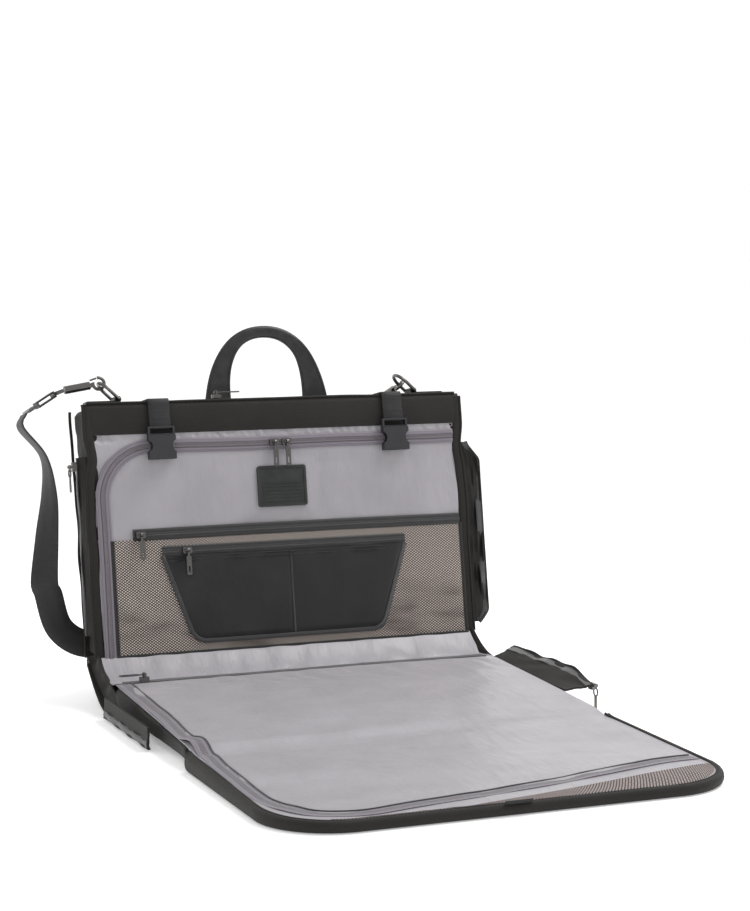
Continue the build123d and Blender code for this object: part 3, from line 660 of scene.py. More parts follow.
def sweep(
    name: str, path: Array, across: Array, profile: Array, wide: Array | float = 1.0,
    thick: Array | float = 1.0
) -> bpy.types.Object:
    """A closed strip or tube.

    Args:
        name: the piece's name.
        path: points of its centre line.
        across: direction of its width, one for all points or one each.
        profile: closed outline as (across, outward) pairs.
        wide: factor on the outline's width at each point.
        thick: factor on its thickness at each point.

    Returns:
        The piece.
    """
    tangent = np.gradient(path, axis=0)
    tangent /= np.linalg.norm(tangent, axis=1, keepdims=True)
    across = np.broadcast_to(np.asarray(across, float), path.shape)
    across = across - tangent * (across * tangent).sum(1, keepdims=True)
    across = across / np.linalg.norm(across, axis=1, keepdims=True)
    normal = np.cross(tangent, across)
    a = profile[None, :, 0] * np.broadcast_to(wide, len(path))[:, None]
    b = profile[None, :, 1] * np.broadcast_to(thick, len(path))[:, None]
    points = path[:, None] + a[..., None] * across[:, None] + b[..., None] * normal[:, None]
    rows, columns = points.shape[:2]
    number = np.arange(rows * columns).reshape(rows, columns)
    following = np.roll(number, -1, axis=1)
    faces = np.stack([number[:-1], following[:-1], following[1:], number[1:]], -1).reshape(-1, 4).tolist()
    faces += [number[0, ::-1].tolist(), number[-1].tolist()]
    cloth = np.stack([np.broadcast_to(lengths(path)[:, None], a.shape), a], -1)
    return outward(add_mesh(name, points, faces, cloth))


def round_profile(width: float, height: float, sides: int = 14) -> Array:
    """An oval outline."""
    turn = np.linspace(0, TAU, sides, endpoint=False)
    return np.stack([np.cos(turn) * width / 2, np.sin(turn) * height / 2], 1)


def strap_profile(width: float, thickness: float) -> Array:
    """A flat strap's outline with softened edges."""
    a, b, e = width / 2, thickness / 2, min(thickness, 1.2 * MM) * 0.4
    return np.array(
        [
            (-a + e, -b), (a - e, -b), (a, -b + e), (a, b - e), (a - e, b), (0.3 * a, b), (-0.3 * a, b),
            (-a + e, b), (-a, b - e), (-a, -b + e)
        ]
    )


def tape_profile(width: float, thickness: float = 1.0 * MM, chain: float = 1.1 * MM) -> Array:
    """A zipper tape's outline, with its chain of teeth standing up along the middle."""
    a, e = width / 2, 0.3 * MM
    return np.array([
        (-a, 0), (a, 0), (a, thickness - e), (a - e, thickness), (3.4 * MM, thickness),
        (2.7 * MM, thickness - e),
        (2.3 * MM, thickness + chain), (0.4 * MM, thickness + chain), (0, thickness + chain - e),
        (-0.4 * MM, thickness + chain), (-2.3 * MM, thickness + chain), (-2.7 * MM, thickness - e),
        (-3.4 * MM, thickness), (-a + e, thickness), (-a, thickness - e),
    ])


def curve_through(knots: Sequence[Sequence[float]], step: float = 6 * MM) -> Array:
    """Points on a smooth line through the knots, at an even spacing."""
    k = np.asarray(knots, float)
    k = np.vstack([2 * k[0] - k[1], k, 2 * k[-1] - k[-2]])
    fine = []
    for a, b, c, d in zip(k[:-3], k[1:-2], k[2:-1], k[3:]):
        t = np.linspace(0, 1, 24, endpoint=False)[:, None]
        fine.append(
            0.5 * (
                2 * b + (c - a) * t + (2 * a - 5 * b + 4 * c - d) * t**2 + (3 * b - a - 3 * c + d) * t**3
            )
        )
    line = np.vstack([*fine, k[-2][None]])
    along = lengths(line[:, :3])
    even = np.linspace(0, along[-1], max(3, int(along[-1] / step)))
    return np.stack([np.interp(even, along, line[:, n]) for n in range(line.shape[1])], 1)


def soft_block(
    name: str, place: Callable[[Array], Array], size: Sequence[float], edge: float, cuts: int = 30
) -> bpy.types.Object:
    """A closed block with rounded edges.

    Args:
        name: the piece's name.
        place: turns the block's own points, centred on 0, into places in the room.
        size: its full size.
        edge: radius of its edges.
        cuts: divisions of each side.

    Returns:
        The piece.
    """
    work = bmesh.new()
    bmesh.ops.create_cube(work, size=2.0)
    bmesh.ops.subdivide_edges(work, edges=work.edges[:], cuts=cuts, use_grid_fill=True)
    mesh = bpy.data.meshes.new(name)
    work.to_mesh(mesh)
    work.free()
    half = np.asarray(size, float) / 2
    unit = np.array([v.co for v in mesh.vertices], float)
    full = unit * half
    inner = np.clip(full, -(half - edge), half - edge)
    away = full - inner
    far = np.linalg.norm(away, axis=1, keepdims=True)
    local = np.where(far > TINY, inner + away / np.maximum(far, TINY) * np.minimum(edge, far * 9), full)
    mesh.vertices.foreach_set("co", place(local).astype(np.float32).ravel())
    mesh.polygons.foreach_set("use_smooth", np.ones(len(mesh.polygons), bool))
    made = bpy.data.objects.new(name, mesh)
    bpy.context.scene.collection.objects.link(made)
    return made


def coordinates_of(piece: bpy.types.Object) -> Array:
    """The piece's vertices."""
    points = np.zeros(len(piece.data.vertices) * 3, np.float32)
    piece.data.vertices.foreach_get("co", points)
    return points.reshape(-1, 3).astype(float)


def reshape(piece: bpy.types.Object, change: Callable[[Array], Array]) -> bpy.types.Object:
    """Moves the piece's vertices."""
    piece.data.vertices.foreach_set("co", change(coordinates_of(piece)).astype(np.float32).ravel())
    piece.data.update()
    return piece


@dataclass(frozen=True)
class Inflation:
    """Cloth simulation that swells a padded piece."""

    voxel: float = 6 * MM
    pressure: float = 4.0
    limit: float = 7 * MM
    frames: int = 20

    def run(self, piece: bpy.types.Object) -> bpy.types.Object:
        """Remeshes, swells and smooths the piece."""
        remesh = piece.modifiers.new("voxels", "REMESH")
        remesh.mode, remesh.voxel_size, remesh.use_smooth_shade = "VOXEL", self.voxel, True
        self._apply(piece)
        rest = coordinates_of(piece)
        cloth = piece.modifiers.new("swell", "CLOTH")
        settings = cloth.settings
        settings.quality, settings.mass = 4, 0.3
        settings.tension_stiffness = settings.compression_stiffness = 14
        settings.shear_stiffness, settings.bending_stiffness = 6, 0.6
        settings.use_pressure, settings.uniform_pressure_force = True, self.pressure
        settings.effector_weights.gravity = 0.0
        scene = bpy.context.scene
        for number in range(1, self.frames + 1):
            scene.frame_set(number)
        self._apply(piece)
        scene.frame_set(1)
        moved = coordinates_of(piece) - rest
        size = np.linalg.norm(moved, axis=1, keepdims=True)
        moved *= np.minimum(1.0, self.limit / np.maximum(size, TINY))
        return reshape(piece, lambda _: rest + moved)

    @staticmethod
    def _apply(piece: bpy.types.Object) -> None:
        graph = bpy.context.evaluated_depsgraph_get()
        mesh = bpy.data.meshes.new_from_object(piece.evaluated_get(graph), depsgraph=graph)
        piece.modifiers.clear()
        piece.data = mesh


@dataclass
class Assembly:
    """A group of pieces that belongs to one part of the bag."""

    title: str

    def build(self) -> None:
        """Makes every piece."""
        raise NotImplementedError

    def add(self, piece: bpy.types.Object, finish: Finish, body: str, *replaced: str) -> bpy.types.Object:
        """Dresses a piece, lets it ride on a body and stand for CAD nodes."""
        WARDROBE.dress(piece, finish)
        if body:
            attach(piece, body)
        if replaced:
            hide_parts(*replaced)
        log.info("%s: %s (%d vertices)", self.title, piece.name, len(piece.data.vertices))
        return piece

    def lay(
        self, name: str, path: Array, across: Array, profile: Array, finish: Finish, body: str,
        *replaced: str, **factors: Array | float
    ) -> bpy.types.Object:
        """Sweeps a strip, tape or cord along a path and adds it; see sweep() and add()."""
        return self.add(sweep(name, path, across, profile, **factors), finish, body, *replaced)


# ---------------------------------------------------------------- upright section
@dataclass
class UprightBag(Assembly):
    """Outer fabric of the upright section, its piping, top band and top face."""

    title: str = "upright bag"
    edge: float = 9 * MM
    frame_width: float = 13 * MM
    recess: float = 4.5 * MM

    def build(self) -> None:
        self.body()
        self.band()
        self.piping()
        self.top_tapes()

    def body(self) -> None:
        """Soft closed body, swollen by simulation, flat behind its front pieces."""
        inset = 3 * MM
        height = UPRIGHT.top - UPRIGHT.low
        middle_h = (UPRIGHT.top + UPRIGHT.low) / 2
        ripple = Ripples(3, 60 * MM, 190 * MM, 1.4, 0.5)

        def place(p: Array) -> Array:
            h = middle_h + p[:, 2]
            depth = UPRIGHT.rear(h) - inset - 1.6 * MM
            return UPRIGHT.point(p[:, 0], 1.6 * MM + (p[:, 1] + 0.5) * depth, h)

        size = (2 * (UPRIGHT.half - inset), 1.0, height - 2 * MM)
        piece = soft_block("upright_body", place, size, self.edge, 40)
        piece = Inflation(limit=6 * MM).run(piece)

        def settle(p: Array) -> Array:
            away = p - UPRIGHT.origin
            x, d, h = away[:, 0], away @ UPRIGHT.back, away @ UPRIGHT.up
            inside = smooth((UPRIGHT.half - 3 * MM - self.frame_width - np.abs(x)) / (6 * MM))
            inside = inside * smooth((UPRIGHT.seam + 6 * MM - h) / (6 * MM))
            side = smooth((np.abs(x) - UPRIGHT.half + 12 * MM) / (10 * MM))
            middle = np.sin(np.pi * np.clip(d / UPRIGHT.rear(h), 0, 1)) ** 2
            tuck = side * middle * (2.4 + 1.9 * ripple(d * 2, h)) * MM
            x = x - np.sign(x) * tuck
            x = np.clip(x, -UPRIGHT.half - 3 * MM, UPRIGHT.half + 3 * MM)
            d = np.maximum(d, 1.3 * MM + inside * self.recess)
            h = np.clip(h, UPRIGHT.low - 2 * MM, UPRIGHT.top)
            return UPRIGHT.point(x, d, h)

        reshape(piece, settle)
        self.add(piece, OUTER, "upright_section", "upright_shell")

    def band(self) -> None:
        """Plain band across the top of the front, folded over the top edge."""
        x = np.linspace(-1, 1, 100)[None, :] * (UPRIGHT.half - 1.5 * MM)
        height = UPRIGHT.top - UPRIGHT.seam
        line = np.linspace(0, 1, 26)[:, None]
        ripple = Ripples(8, 70 * MM, 300 * MM, 0.2, 0.6)
        h = UPRIGHT.seam + line * (height - 3 * MM)
        roll = smooth((line - 0.86) / 0.14)
        bulge = np.sin(np.pi * line) * (1.0 + 0.8 * ripple(x, h)) * MM
        end = smooth((UPRIGHT.half - np.abs(x)) / (12 * MM))
        d = 0.4 * MM - bulge * end + roll * 2.5 * MM + (1 - end) * 2.5 * MM
        piece = sheet_mesh("front_band", UPRIGHT.point(x, d, h + 0 * x), UPRIGHT.back * 1.4 * MM)
        self.add(piece, OUTER, "upright_section", "top_band")

    def piping(self) -> None:
        """Corded seams along the front, back and top edges."""
        ripple = Ripples(5, 60 * MM, 200 * MM)
        h = np.linspace(UPRIGHT.low + 4 * MM, UPRIGHT.top - 7 * MM, 70)
        for side, word in ((-1, "left"), (1, "right")):
            lean = 1.6 * MM * ripple(h, 0 * h + side)
            pinch = 5 * MM * np.exp(-(((h - UPRIGHT.seam + 30 * MM) / (22 * MM)) ** 2))
            front = UPRIGHT.point(side * (UPRIGHT.half - 6.5 * MM - pinch) + lean, 1.6 * MM, h)
            self.lay(
                f"{word}_front_piping", front, (1, 0, 0), round_profile(14 * MM, 4.4 * MM, 18), OUTER,
                "upright_section"
            )
            cord = front + np.array((side * 5.6 * MM, 0, 0)) - UPRIGHT.back * 1.4 * MM
            self.lay(
                f"{word}_front_cord", cord, (1, 0, 0), round_profile(3.6 * MM, 3.4 * MM, 10), OUTER,
                "upright_section"
            )
            rear = UPRIGHT.point(side * (UPRIGHT.half - 3 * MM) - lean, UPRIGHT.rear(h) - 5 * MM, h)
            self.lay(
                f"{word}_back_piping", rear, (1, 0, 0), round_profile(4.2 * MM, 4.2 * MM), OUTER,
                "upright_section"
            )
        x = np.linspace(-1, 1, 90) * (UPRIGHT.half - 8 * MM)
        sag = 0.5 * MM * ripple(x, 0 * x)
        top = UPRIGHT.point(x, 2.6 * MM, UPRIGHT.top - 2.2 * MM + sag)
        self.lay(
            "top_piping", top, UPRIGHT.back, round_profile(3.4 * MM, 3.4 * MM), OUTER, "upright_section"
        )

    def top_tapes(self) -> None:
        """Zipper of the hanging hook's slot in the top face."""
        slider_low, slider_high = UPRIGHT.box("top_slider")
        middle = (slider_low[1] + slider_high[1]) / 2
        reach = -slider_low[0] + 4 * MM
        x = np.linspace(-reach, reach, 60)
        path = UPRIGHT.point(x, middle, UPRIGHT.top + 0.3 * MM)
        self.lay(
            "hook_slot_zipper", path, UPRIGHT.back, tape_profile(15 * MM, 0.9 * MM, 0.7 * MM) * FACE_DOWN,
            BLACK_TAPE, "upright_section"
        )


@dataclass
class UprightFront(Assembly):
    """Lining, zippers and pockets on the front of the upright section."""

    title: str = "upright front"
    margin: float = 13 * MM
    tape_width: float = GREY_TAPE_WIDTH

    def __post_init__(self) -> None:
        self.mesh_low, self.mesh_high = UPRIGHT.box("mesh_pocket")
        self.pocket_low, self.pocket_high = UPRIGHT.box("accessory_pocket")
        self.tape_low, self.tape_high = UPRIGHT.box("main_zipper_tape")
        self.patch_low, self.patch_high = UPRIGHT.box("rubber_patch")
        self.mesh_zip = np.mean([b[2] for b in UPRIGHT.box("mesh_slider")])
        self.pocket_zip = np.mean([b[2] for b in UPRIGHT.box("accessory_slider")])

    def build(self) -> None:
        self.lining()
        self.main_zipper()
        self.net_pocket()
        self.small_pocket()
        self.black_zippers()

    def lining(self) -> None:
        """Satin lining, puckered above the main zipper and softly creased below it."""
        low, high = UPRIGHT.low + 2 * MM, UPRIGHT.seam + 1.5 * MM
        side = UPRIGHT.half - self.margin
        x = np.linspace(-side, side, 210)[None, :]
        h = np.linspace(low, high, 120)[:, None]
        slant = Ripples(11, 60 * MM, 230 * MM, -0.75, 0.3, 8)
        sharp = Ripples(14, 90 * MM, 240 * MM, -0.9, 0.25, 5)
        pucker = Ripples(12, 9 * MM, 22 * MM, 0.35, 0.35, 8)
        corner = Ripples(13, 18 * MM, 42 * MM, 0.9, 0.3, 6)
        zip_h = self.tape_high[2] - self.tape_width / 2
        above = smooth((h - zip_h - 4 * MM) / (8 * MM)) * smooth((high - h) / (3 * MM))
        curve = np.hypot(np.minimum(x + side - 70 * MM, 0), np.maximum(h - zip_h + 70 * MM, 0))
        outside = smooth((curve - 82 * MM) / (10 * MM))
        below = smooth((zip_h - 8 * MM - h) / (24 * MM))
        patch = smooth(
            np.maximum(
                np.abs(x) - self.patch_high[0], np.maximum(self.patch_low[2] - h, h - self.patch_high[2])
            ) / (22 * MM)
        )
        d = 0.7 * MM + below * patch * (2.0 + 2.0 * slant(x, h) - 1.3 * sharp.pinched(x, h)) * MM
        d = d + above * (1.3 + 1.3 * pucker(x, h)) * MM + outside * above * (0.6 + 1.6 * corner(x, h)) * MM
        d = np.clip(d, 0.1 * MM, 5 * MM)
        front = UPRIGHT.point(x + 0 * h, d, h + 0 * x)
        piece = sheet_mesh("front_lining", front, UPRIGHT.back * LINING_THICK * MM)
        self.add(piece, SATIN, "upright_section", "upright_lining")

    def main_zipper(self) -> None:
        """Grey tape along the upper edge, round the left corner and down the left side."""
        half_tape = self.tape_width / 2
        left, right = self.tape_low[0] + half_tape + 6 * MM, self.tape_high[0] + 12 * MM
        top, bottom = self.tape_high[2] - half_tape, self.tape_low[2]
        radius = 70 * MM
        turn = np.linspace(0, math.pi / 2, 30)
        corner_x = left + radius - radius * np.cos(turn)
        corner_h = top - radius + radius * np.sin(turn)
        x = np.concatenate([np.full(60, left), corner_x, np.linspace(left + radius, right, 90)[1:]])
        h = np.concatenate([np.linspace(bottom, top - radius, 61)[:-1], corner_h, np.full(90, top)[1:]])
        ripple = Ripples(21, 50 * MM, 160 * MM)
        x = x + 1.1 * MM * ripple(h, 0 * h)
        h = h + 0.9 * MM * ripple(x, 0 * x + 0.3) * (h > top - radius)
        path = UPRIGHT.point(x, -0.1 * MM, h)
        tangent = np.gradient(path, axis=0)
        across = np.cross(UPRIGHT.back, tangent)
        self.lay(
            "main_zipper", path, across, tape_profile(self.tape_width) * FACE_DOWN, GREY_TAPE,
            "upright_section", "main_zipper_tape"
        )

    def net_pocket(self) -> None:
        """Net across the lower half, loose and folded near its foot, with a bound left edge."""
        low, high = self.mesh_low[2] - 2 * MM, self.mesh_high[2] + 1 * MM
        left, right = self.mesh_low[0] + 5 * MM, self.mesh_high[0] + 15 * MM
        x = np.linspace(left, right, 170)[None, :]
        h = np.linspace(low, high, 80)[:, None]
        share = (h - low) / (high - low)
        slack = Ripples(31, 60 * MM, 150 * MM, 1.35, 0.3, 7)
        sag = np.sin(np.pi * np.clip(share * 1.25, 0, 1)) ** 1.2
        edge = smooth((x - left) / (14 * MM)) * smooth((right - x) / (14 * MM))
        free = smooth((self.pocket_low[2] + 6 * MM - h) / (16 * MM))
        free = np.maximum(free, smooth((np.abs(x) - self.pocket_high[0] * 0.92) / (20 * MM)) * 0.35)
        bulge = sag * edge * (0.6 + free * (3.2 + 3.2 * slack(x, h))) * MM
        d = -0.5 * MM - np.clip(bulge, 0, 7 * MM)
        piece = sheet_mesh(
            "net_pocket", UPRIGHT.point(x + 0 * h, d, h + 0 * x), UPRIGHT.back * NET_THICK * MM
        )
        self.add(piece, NET, "upright_section", "mesh_pocket")
        line = np.linspace(low, high, 40)
        for name, place in (("net_binding_left", left), ("net_binding_right", right)):
            self.lay(
                name, UPRIGHT.point(place, -1.1 * MM, line), (1, 0, 0), strap_profile(5 * MM, 1.2 * MM),
                POCKET, "upright_section"
            )
        along = np.linspace(left - 2 * MM, right + 2 * MM, 90)
        self.lay(
            "net_binding_foot", UPRIGHT.point(along, -1.1 * MM, low + 1.5 * MM), UPRIGHT.up,
            strap_profile(7 * MM, 1.6 * MM), POCKET, "upright_section"
        )

    def pocket_edge(self, h: Array) -> Array:
        """Half width of the small pocket at a height, with rounded lower corners."""
        low, high = self.pocket_low[2], self.pocket_high[2]
        wide, narrow = self.pocket_high[0], self.pocket_high[0] - 40 * MM
        straight = narrow + (wide - narrow) * (h - low) / (high - low)
        radius = 16 * MM
        into = np.clip((low + radius - h) / radius, 0, 1)
        return straight - radius * (1 - np.sqrt(np.clip(1 - into**2, 0, 1)))

    def small_pocket(self) -> None:
        """Dark pocket sewn on the net, divided by one seam."""
        low, high = self.pocket_low[2], self.pocket_high[2] + 1 * MM
        h = (low + (high - low) * np.linspace(0, 1, 60) ** 1.15)[:, None]
        x = np.linspace(-1, 1, 130)[None, :] * self.pocket_edge(h)
        ripple = Ripples(41, 40 * MM, 110 * MM, -0.4, 0.7, 8)
        share = (h - low) / (high - low)
        seam = np.exp(-(((x - 6 * MM) / (3.5 * MM)) ** 2))
        rim = smooth((self.pocket_edge(h) - np.abs(x)) / (10 * MM)) * smooth(share * 12)
        d = -2.0 * MM - rim * (2.2 + 2.0 * ripple(x, h)) * (1 - 0.85 * seam) * MM - 0.6 * MM * rim
        line = UPRIGHT.point(6 * MM, -3.4 * MM, np.linspace(low + 4 * MM, high - 2 * MM, 40))
        self.lay(
            "small_pocket_seam", line, (1, 0, 0), strap_profile(2.4 * MM, 1.4 * MM), BLACK_TAPE,
            "upright_section"
        )
        for n, drop in enumerate((2.5, 7.0)):
            hem = self.pocket_edge(np.array([high - drop * MM]))[0] - 5 * MM
            across = UPRIGHT.point(np.linspace(-hem, hem, 80), -4.6 * MM - 0.4 * MM * n, high - drop * MM)
            self.lay(
                f"small_pocket_hem_{n}", across, UPRIGHT.up, round_profile(1.0 * MM, 1.4 * MM, 8), POCKET,
                "upright_section"
            )
        piece = sheet_mesh("small_pocket", UPRIGHT.point(x, d, h + 0 * x), UPRIGHT.back * 1.0 * MM)
        self.add(piece, POCKET, "upright_section", "accessory_pocket")
        edge_h = low + (high - low) * (np.linspace(0, 1, 50) ** 1.6)
        edge_x = self.pocket_edge(edge_h)
        x = np.concatenate([-edge_x[::-1], np.linspace(-edge_x[0], edge_x[0], 60)[1:-1], edge_x])
        h = np.concatenate([edge_h[::-1], np.full(58, low), edge_h])
        path = UPRIGHT.point(x, -2.6 * MM, h)
        across = np.cross(UPRIGHT.back, np.gradient(path, axis=0))
        self.lay(
            "small_pocket_binding", path, across, strap_profile(6 * MM, 1.8 * MM), BLACK_TAPE,
            "upright_section"
        )

    def black_zippers(self) -> None:
        """Coated zippers of the net pocket and the small pocket."""
        left, right = self.mesh_low[0] + 34 * MM, self.mesh_high[0] + 14 * MM
        x = np.linspace(left, right, 120)
        bow = 1.0 * MM * np.sin(np.pi * (x - left) / (right - left))
        path = UPRIGHT.point(x, -0.5 * MM, self.mesh_zip + bow)
        self.lay(
            "net_pocket_zipper", path, UPRIGHT.up, tape_profile(16 * MM, 1.0 * MM, 0.6 * MM), BLACK_TAPE,
            "upright_section", "black_zipper_tapes"
        )
        reach = self.pocket_high[0] + 1 * MM
        x = np.linspace(-reach, reach, 110)
        path = UPRIGHT.point(x, -1.8 * MM, self.pocket_zip)
        self.lay(
            "small_pocket_zipper", path, UPRIGHT.up, tape_profile(14 * MM, 1.0 * MM, 0.6 * MM), BLACK_TAPE,
            "upright_section"
        )


# ---------------------------------------------------------------- floor sections
@dataclass
class FloorSections(Assembly):
    """Middle and end sections: padded bodies, one lining across the crease, zippers and edges."""

    title: str = "floor sections"
    margin: float = 9 * MM
    net_gap: float = 32 * MM
    tape_width: float = GREY_TAPE_WIDTH

    def build(self) -> None:
        self.middle_body()
        self.end_body()
        self.outer_pocket()
        self.lining()
        self.edge_net()
        self.zipper()
        self.fold_zipper()
        self.piping()

    def middle_body(self) -> None:
        """Padded wedge of the middle section with soft, slightly fallen sides."""
        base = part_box("outer_pocket")[1].z + 0.3 * MM
        inset = 3 * MM
        length = FLOOR.rear - FLOOR.front
        centre = (FLOOR.rear + FLOOR.front) / 2

        def place(p: Array) -> Array:
            y = centre + p[:, 1]
            top = FLOOR.top(y) - 2.2 * MM
            return np.stack([p[:, 0], y, base + (p[:, 2] + 0.5) * (top - base)], 1)

        size = (2 * (FLOOR.half - inset), length - 2 * inset, 1.0)
        piece = soft_block("middle_body", place, size, 6 * MM, 40)
        piece = Inflation(limit=5 * MM).run(piece)
        ripple = Ripples(51, 50 * MM, 160 * MM)

        def settle(p: Array) -> Array:
            x, y, z = p.T
            side = smooth((np.abs(x) - FLOOR.half + 14 * MM) / (12 * MM))
            x = x - np.sign(x) * side * (2.0 + 3.0 * ripple(y, z)) * MM
            x = np.clip(x, -FLOOR.half - 2 * MM, FLOOR.half + 2 * MM)
            return np.stack(
                [x, np.clip(y, FLOOR.front, FLOOR.rear), np.clip(z, base, FLOOR.top(y) - 1.8 * MM)], 1
            )

        reshape(piece, settle)
        self.add(piece, OUTER, "middle_section", "middle_shell", "middle_padding")

    def end_body(self) -> None:
        """Padded lid, thin at its far end, with rounded far corners."""
        inset = 7 * MM
        length = FLOOR.near - FLOOR.far
        centre = (FLOOR.near + FLOOR.far) / 2
        start = FLOOR.half - inset

        def place(p: Array) -> Array:
            y = centre + p[:, 1]
            top = FLOOR.top(y) - 2.2 * MM
            x = p[:, 0] / start * FLOOR.width(y, inset)
            return np.stack([x, y, 1.2 * MM + (p[:, 2] + 0.5) * (top - 1.2 * MM)], 1)

        piece = soft_block("end_body", place, (2 * start, length - 2 * inset, 1.0), 5 * MM, 40)
        piece = Inflation(limit=3 * MM).run(piece)
        reshape(
            piece,
            lambda p: np.stack(
                [
                    p[:, 0], np.minimum(p[:, 1], FLOOR.near),
                    np.clip(p[:, 2], 0.4 * MM, FLOOR.top(p[:, 1]) - 1.8 * MM)
                ],
                1
            )
        )
        self.add(piece, OUTER, "end_section", "end_shell", "end_padding", "end_lining")

    def outer_pocket(self) -> None:
        """Flat pocket that the middle section rests on."""
        low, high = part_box("outer_pocket")
        centre, size = (low + high) / 2, high - low
        piece = soft_block(
            "outer_pocket_pad", lambda p: p + np.array(centre), (size.x, size.y - 2 * MM, size.z), 3 * MM,
            24
        )
        self.add(piece, OUTER, "middle_section", "outer_pocket")

    def swell(self, x: Array, y: Array) -> Array:
        """How far the lining stands above the CAD lining."""
        across = np.clip(1 - (x / (FLOOR.half - 6 * MM)) ** 2, 0, 1)
        middle = np.clip(1 - ((y - FLOOR.front / 2) / (FLOOR.front / 2)) ** 2, 0, 1)
        end_centre, end_half = (FLOOR.near + FLOOR.far) / 2, (FLOOR.near - FLOOR.far) / 2
        end = np.clip(1 - ((y - end_centre) / end_half) ** 2, 0, 1)
        return (across**0.6) * (
            6 * MM * middle**0.7 * (y > FLOOR.crease) + 4 * MM * end**0.7 * (y <= FLOOR.crease)
        )

    def surface(self, x: Array, y: Array) -> Array:
        """Height of the lining's shown side, folds and all."""
        long = Ripples(61, 90 * MM, 260 * MM, 1.2, 0.7, 9)
        fine = Ripples(62, 26 * MM, 70 * MM, 1.9, 0.6, 8)
        radial = Ripples(63, 28 * MM, 60 * MM, 0.5, 0.5, 7)
        edge = smooth((FLOOR.half - 4 * MM - np.abs(x)) / (40 * MM)) * smooth((y - FLOOR.far) / (40 * MM))
        edge = edge * smooth((FLOOR.rear - 8 * MM - y) / (36 * MM))
        rear = smooth((y + 130 * MM) / (110 * MM))
        crease = np.exp(-(((y - FLOOR.crease - 10 * MM * np.sin(x * 9)) / (16 * MM)) ** 2))
        folds = 2.4 * long(x, y) + 0.4 * fine(x, y) * (1 + rear) + 2.2 * rear * radial(x, y)
        return FLOOR.top(y) + self.swell(x, y) + edge * folds * MM - 2.0 * MM * crease

    def lining(self) -> None:
        """One satin lining over both sections, across the crease."""
        rows = np.linspace(FLOOR.rear - 10 * MM, FLOOR.far + self.margin, 200)[:, None]
        x = np.linspace(-1, 1, 160)[None, :] * FLOOR.width(rows, self.margin)
        y = rows + 0 * x
        front = np.stack([x, y, self.surface(x, y)], -1)
        piece = sheet_mesh("floor_lining", front, (0, 0, -LINING_THICK * MM))
        self.add(piece, SATIN, "", "middle_lining")
        area = area_under(2 * FLOOR.width(rows[:, 0], self.margin), rows[:, 0])
        self.bend(piece)

    def bend(self, piece: bpy.types.Object) -> None:
        """Bakes the piece's transform into its mesh."""
        height = FLOOR.top(np.array(FLOOR.crease))
        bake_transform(piece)

    def zip_line(self) -> Array:
        """Centre line of the floor zipper in X and Y, from the rear left to the right side."""
        left = -FLOOR.half + 19 * MM
        knots = [
            (left, FLOOR.rear - 14 * MM), (left, -90 * MM), (left + 1 * MM, -200 * MM),
            (left - 2 * MM, -290 * MM),
            (left + 5 * MM, FLOOR.crease - 4 * MM), (left + 1 * MM, -430 * MM), (left, -520 * MM),
            (left + 3 * MM, FLOOR.far + 110 * MM),
            (left + 24 * MM, FLOOR.far + 52 * MM), (left + 78 * MM, FLOOR.far + 27 * MM),
            (-120 * MM, FLOOR.far + 34 * MM),
            (40 * MM, FLOOR.far + 62 * MM), (180 * MM, FLOOR.far + 90 * MM),
            (FLOOR.half - 14 * MM, FLOOR.far + 110 * MM),
        ]
        return curve_through(knots, 4 * MM)

    def zipper(self) -> None:
        """Grey tape of the garment compartment, lying on the lining."""
        line = self.zip_line()
        x, y = line.T
        lift = Ripples(71, 40 * MM, 120 * MM)
        hump = 5 * MM * np.exp(-(((y - FLOOR.crease - 22 * MM) / (20 * MM)) ** 2)) * (x < 0)
        z = self.surface(x, y) + (0.5 + 0.4 * lift(x, y)) * MM + hump
        path = np.stack([x, y, z], 1)
        tangent = np.gradient(path, axis=0)
        across = np.cross(tangent, (0, 0, 1))
        piece = self.lay(
            "floor_zipper", path, across, tape_profile(self.tape_width), GREY_TAPE, "",
            "middle_zipper_tape", "end_zipper_tape"
        )
        self.bend(piece)
        unit = across / np.linalg.norm(across, axis=1, keepdims=True)
        edge = path - unit * self.tape_width / 2 + (0, 0, 0.9 * MM)
        cord = self.lay(
            "floor_zipper_edge", edge, (0, 0, 1), round_profile(1.7 * MM, 1.9 * MM, 8), BLACK_TAPE, ""
        )
        self.bend(cord)

    def edge_net(self) -> None:
        """Pale net between the floor zipper and the far edge."""
        line = self.zip_line()
        start = np.argmax(line[:, 0] > -FLOOR.half + 60 * MM)
        zip_x, zip_y = line[start:].T
        x = np.linspace(zip_x[0], FLOOR.half - 13 * MM, 150)[None, :]
        share = np.linspace(0, 1, 30)[:, None]
        radius = FLOOR.radius - 11 * MM
        into = np.clip((np.abs(x) - FLOOR.half + 11 * MM + radius) / radius, 0, 0.999)
        far = FLOOR.far + 11 * MM + radius * (1 - np.sqrt(1 - into**2))
        near = np.maximum(np.interp(x[0], zip_x, zip_y)[None, :] - self.net_gap, far + 1 * MM)
        y = near + (far - near) * share
        folds = Ripples(72, 20 * MM, 60 * MM, 0.2, 0.5, 7)
        z = self.surface(x + 0 * y, y) + 0.6 * MM + 0.5 * MM * folds(x + 0 * y, y) * np.sin(np.pi * share)
        piece = sheet_mesh("edge_net", np.stack([x + 0 * y, y, z], -1), (0, 0, -NET_THICK * MM))
        self.add(piece, PALE_NET, "end_section")

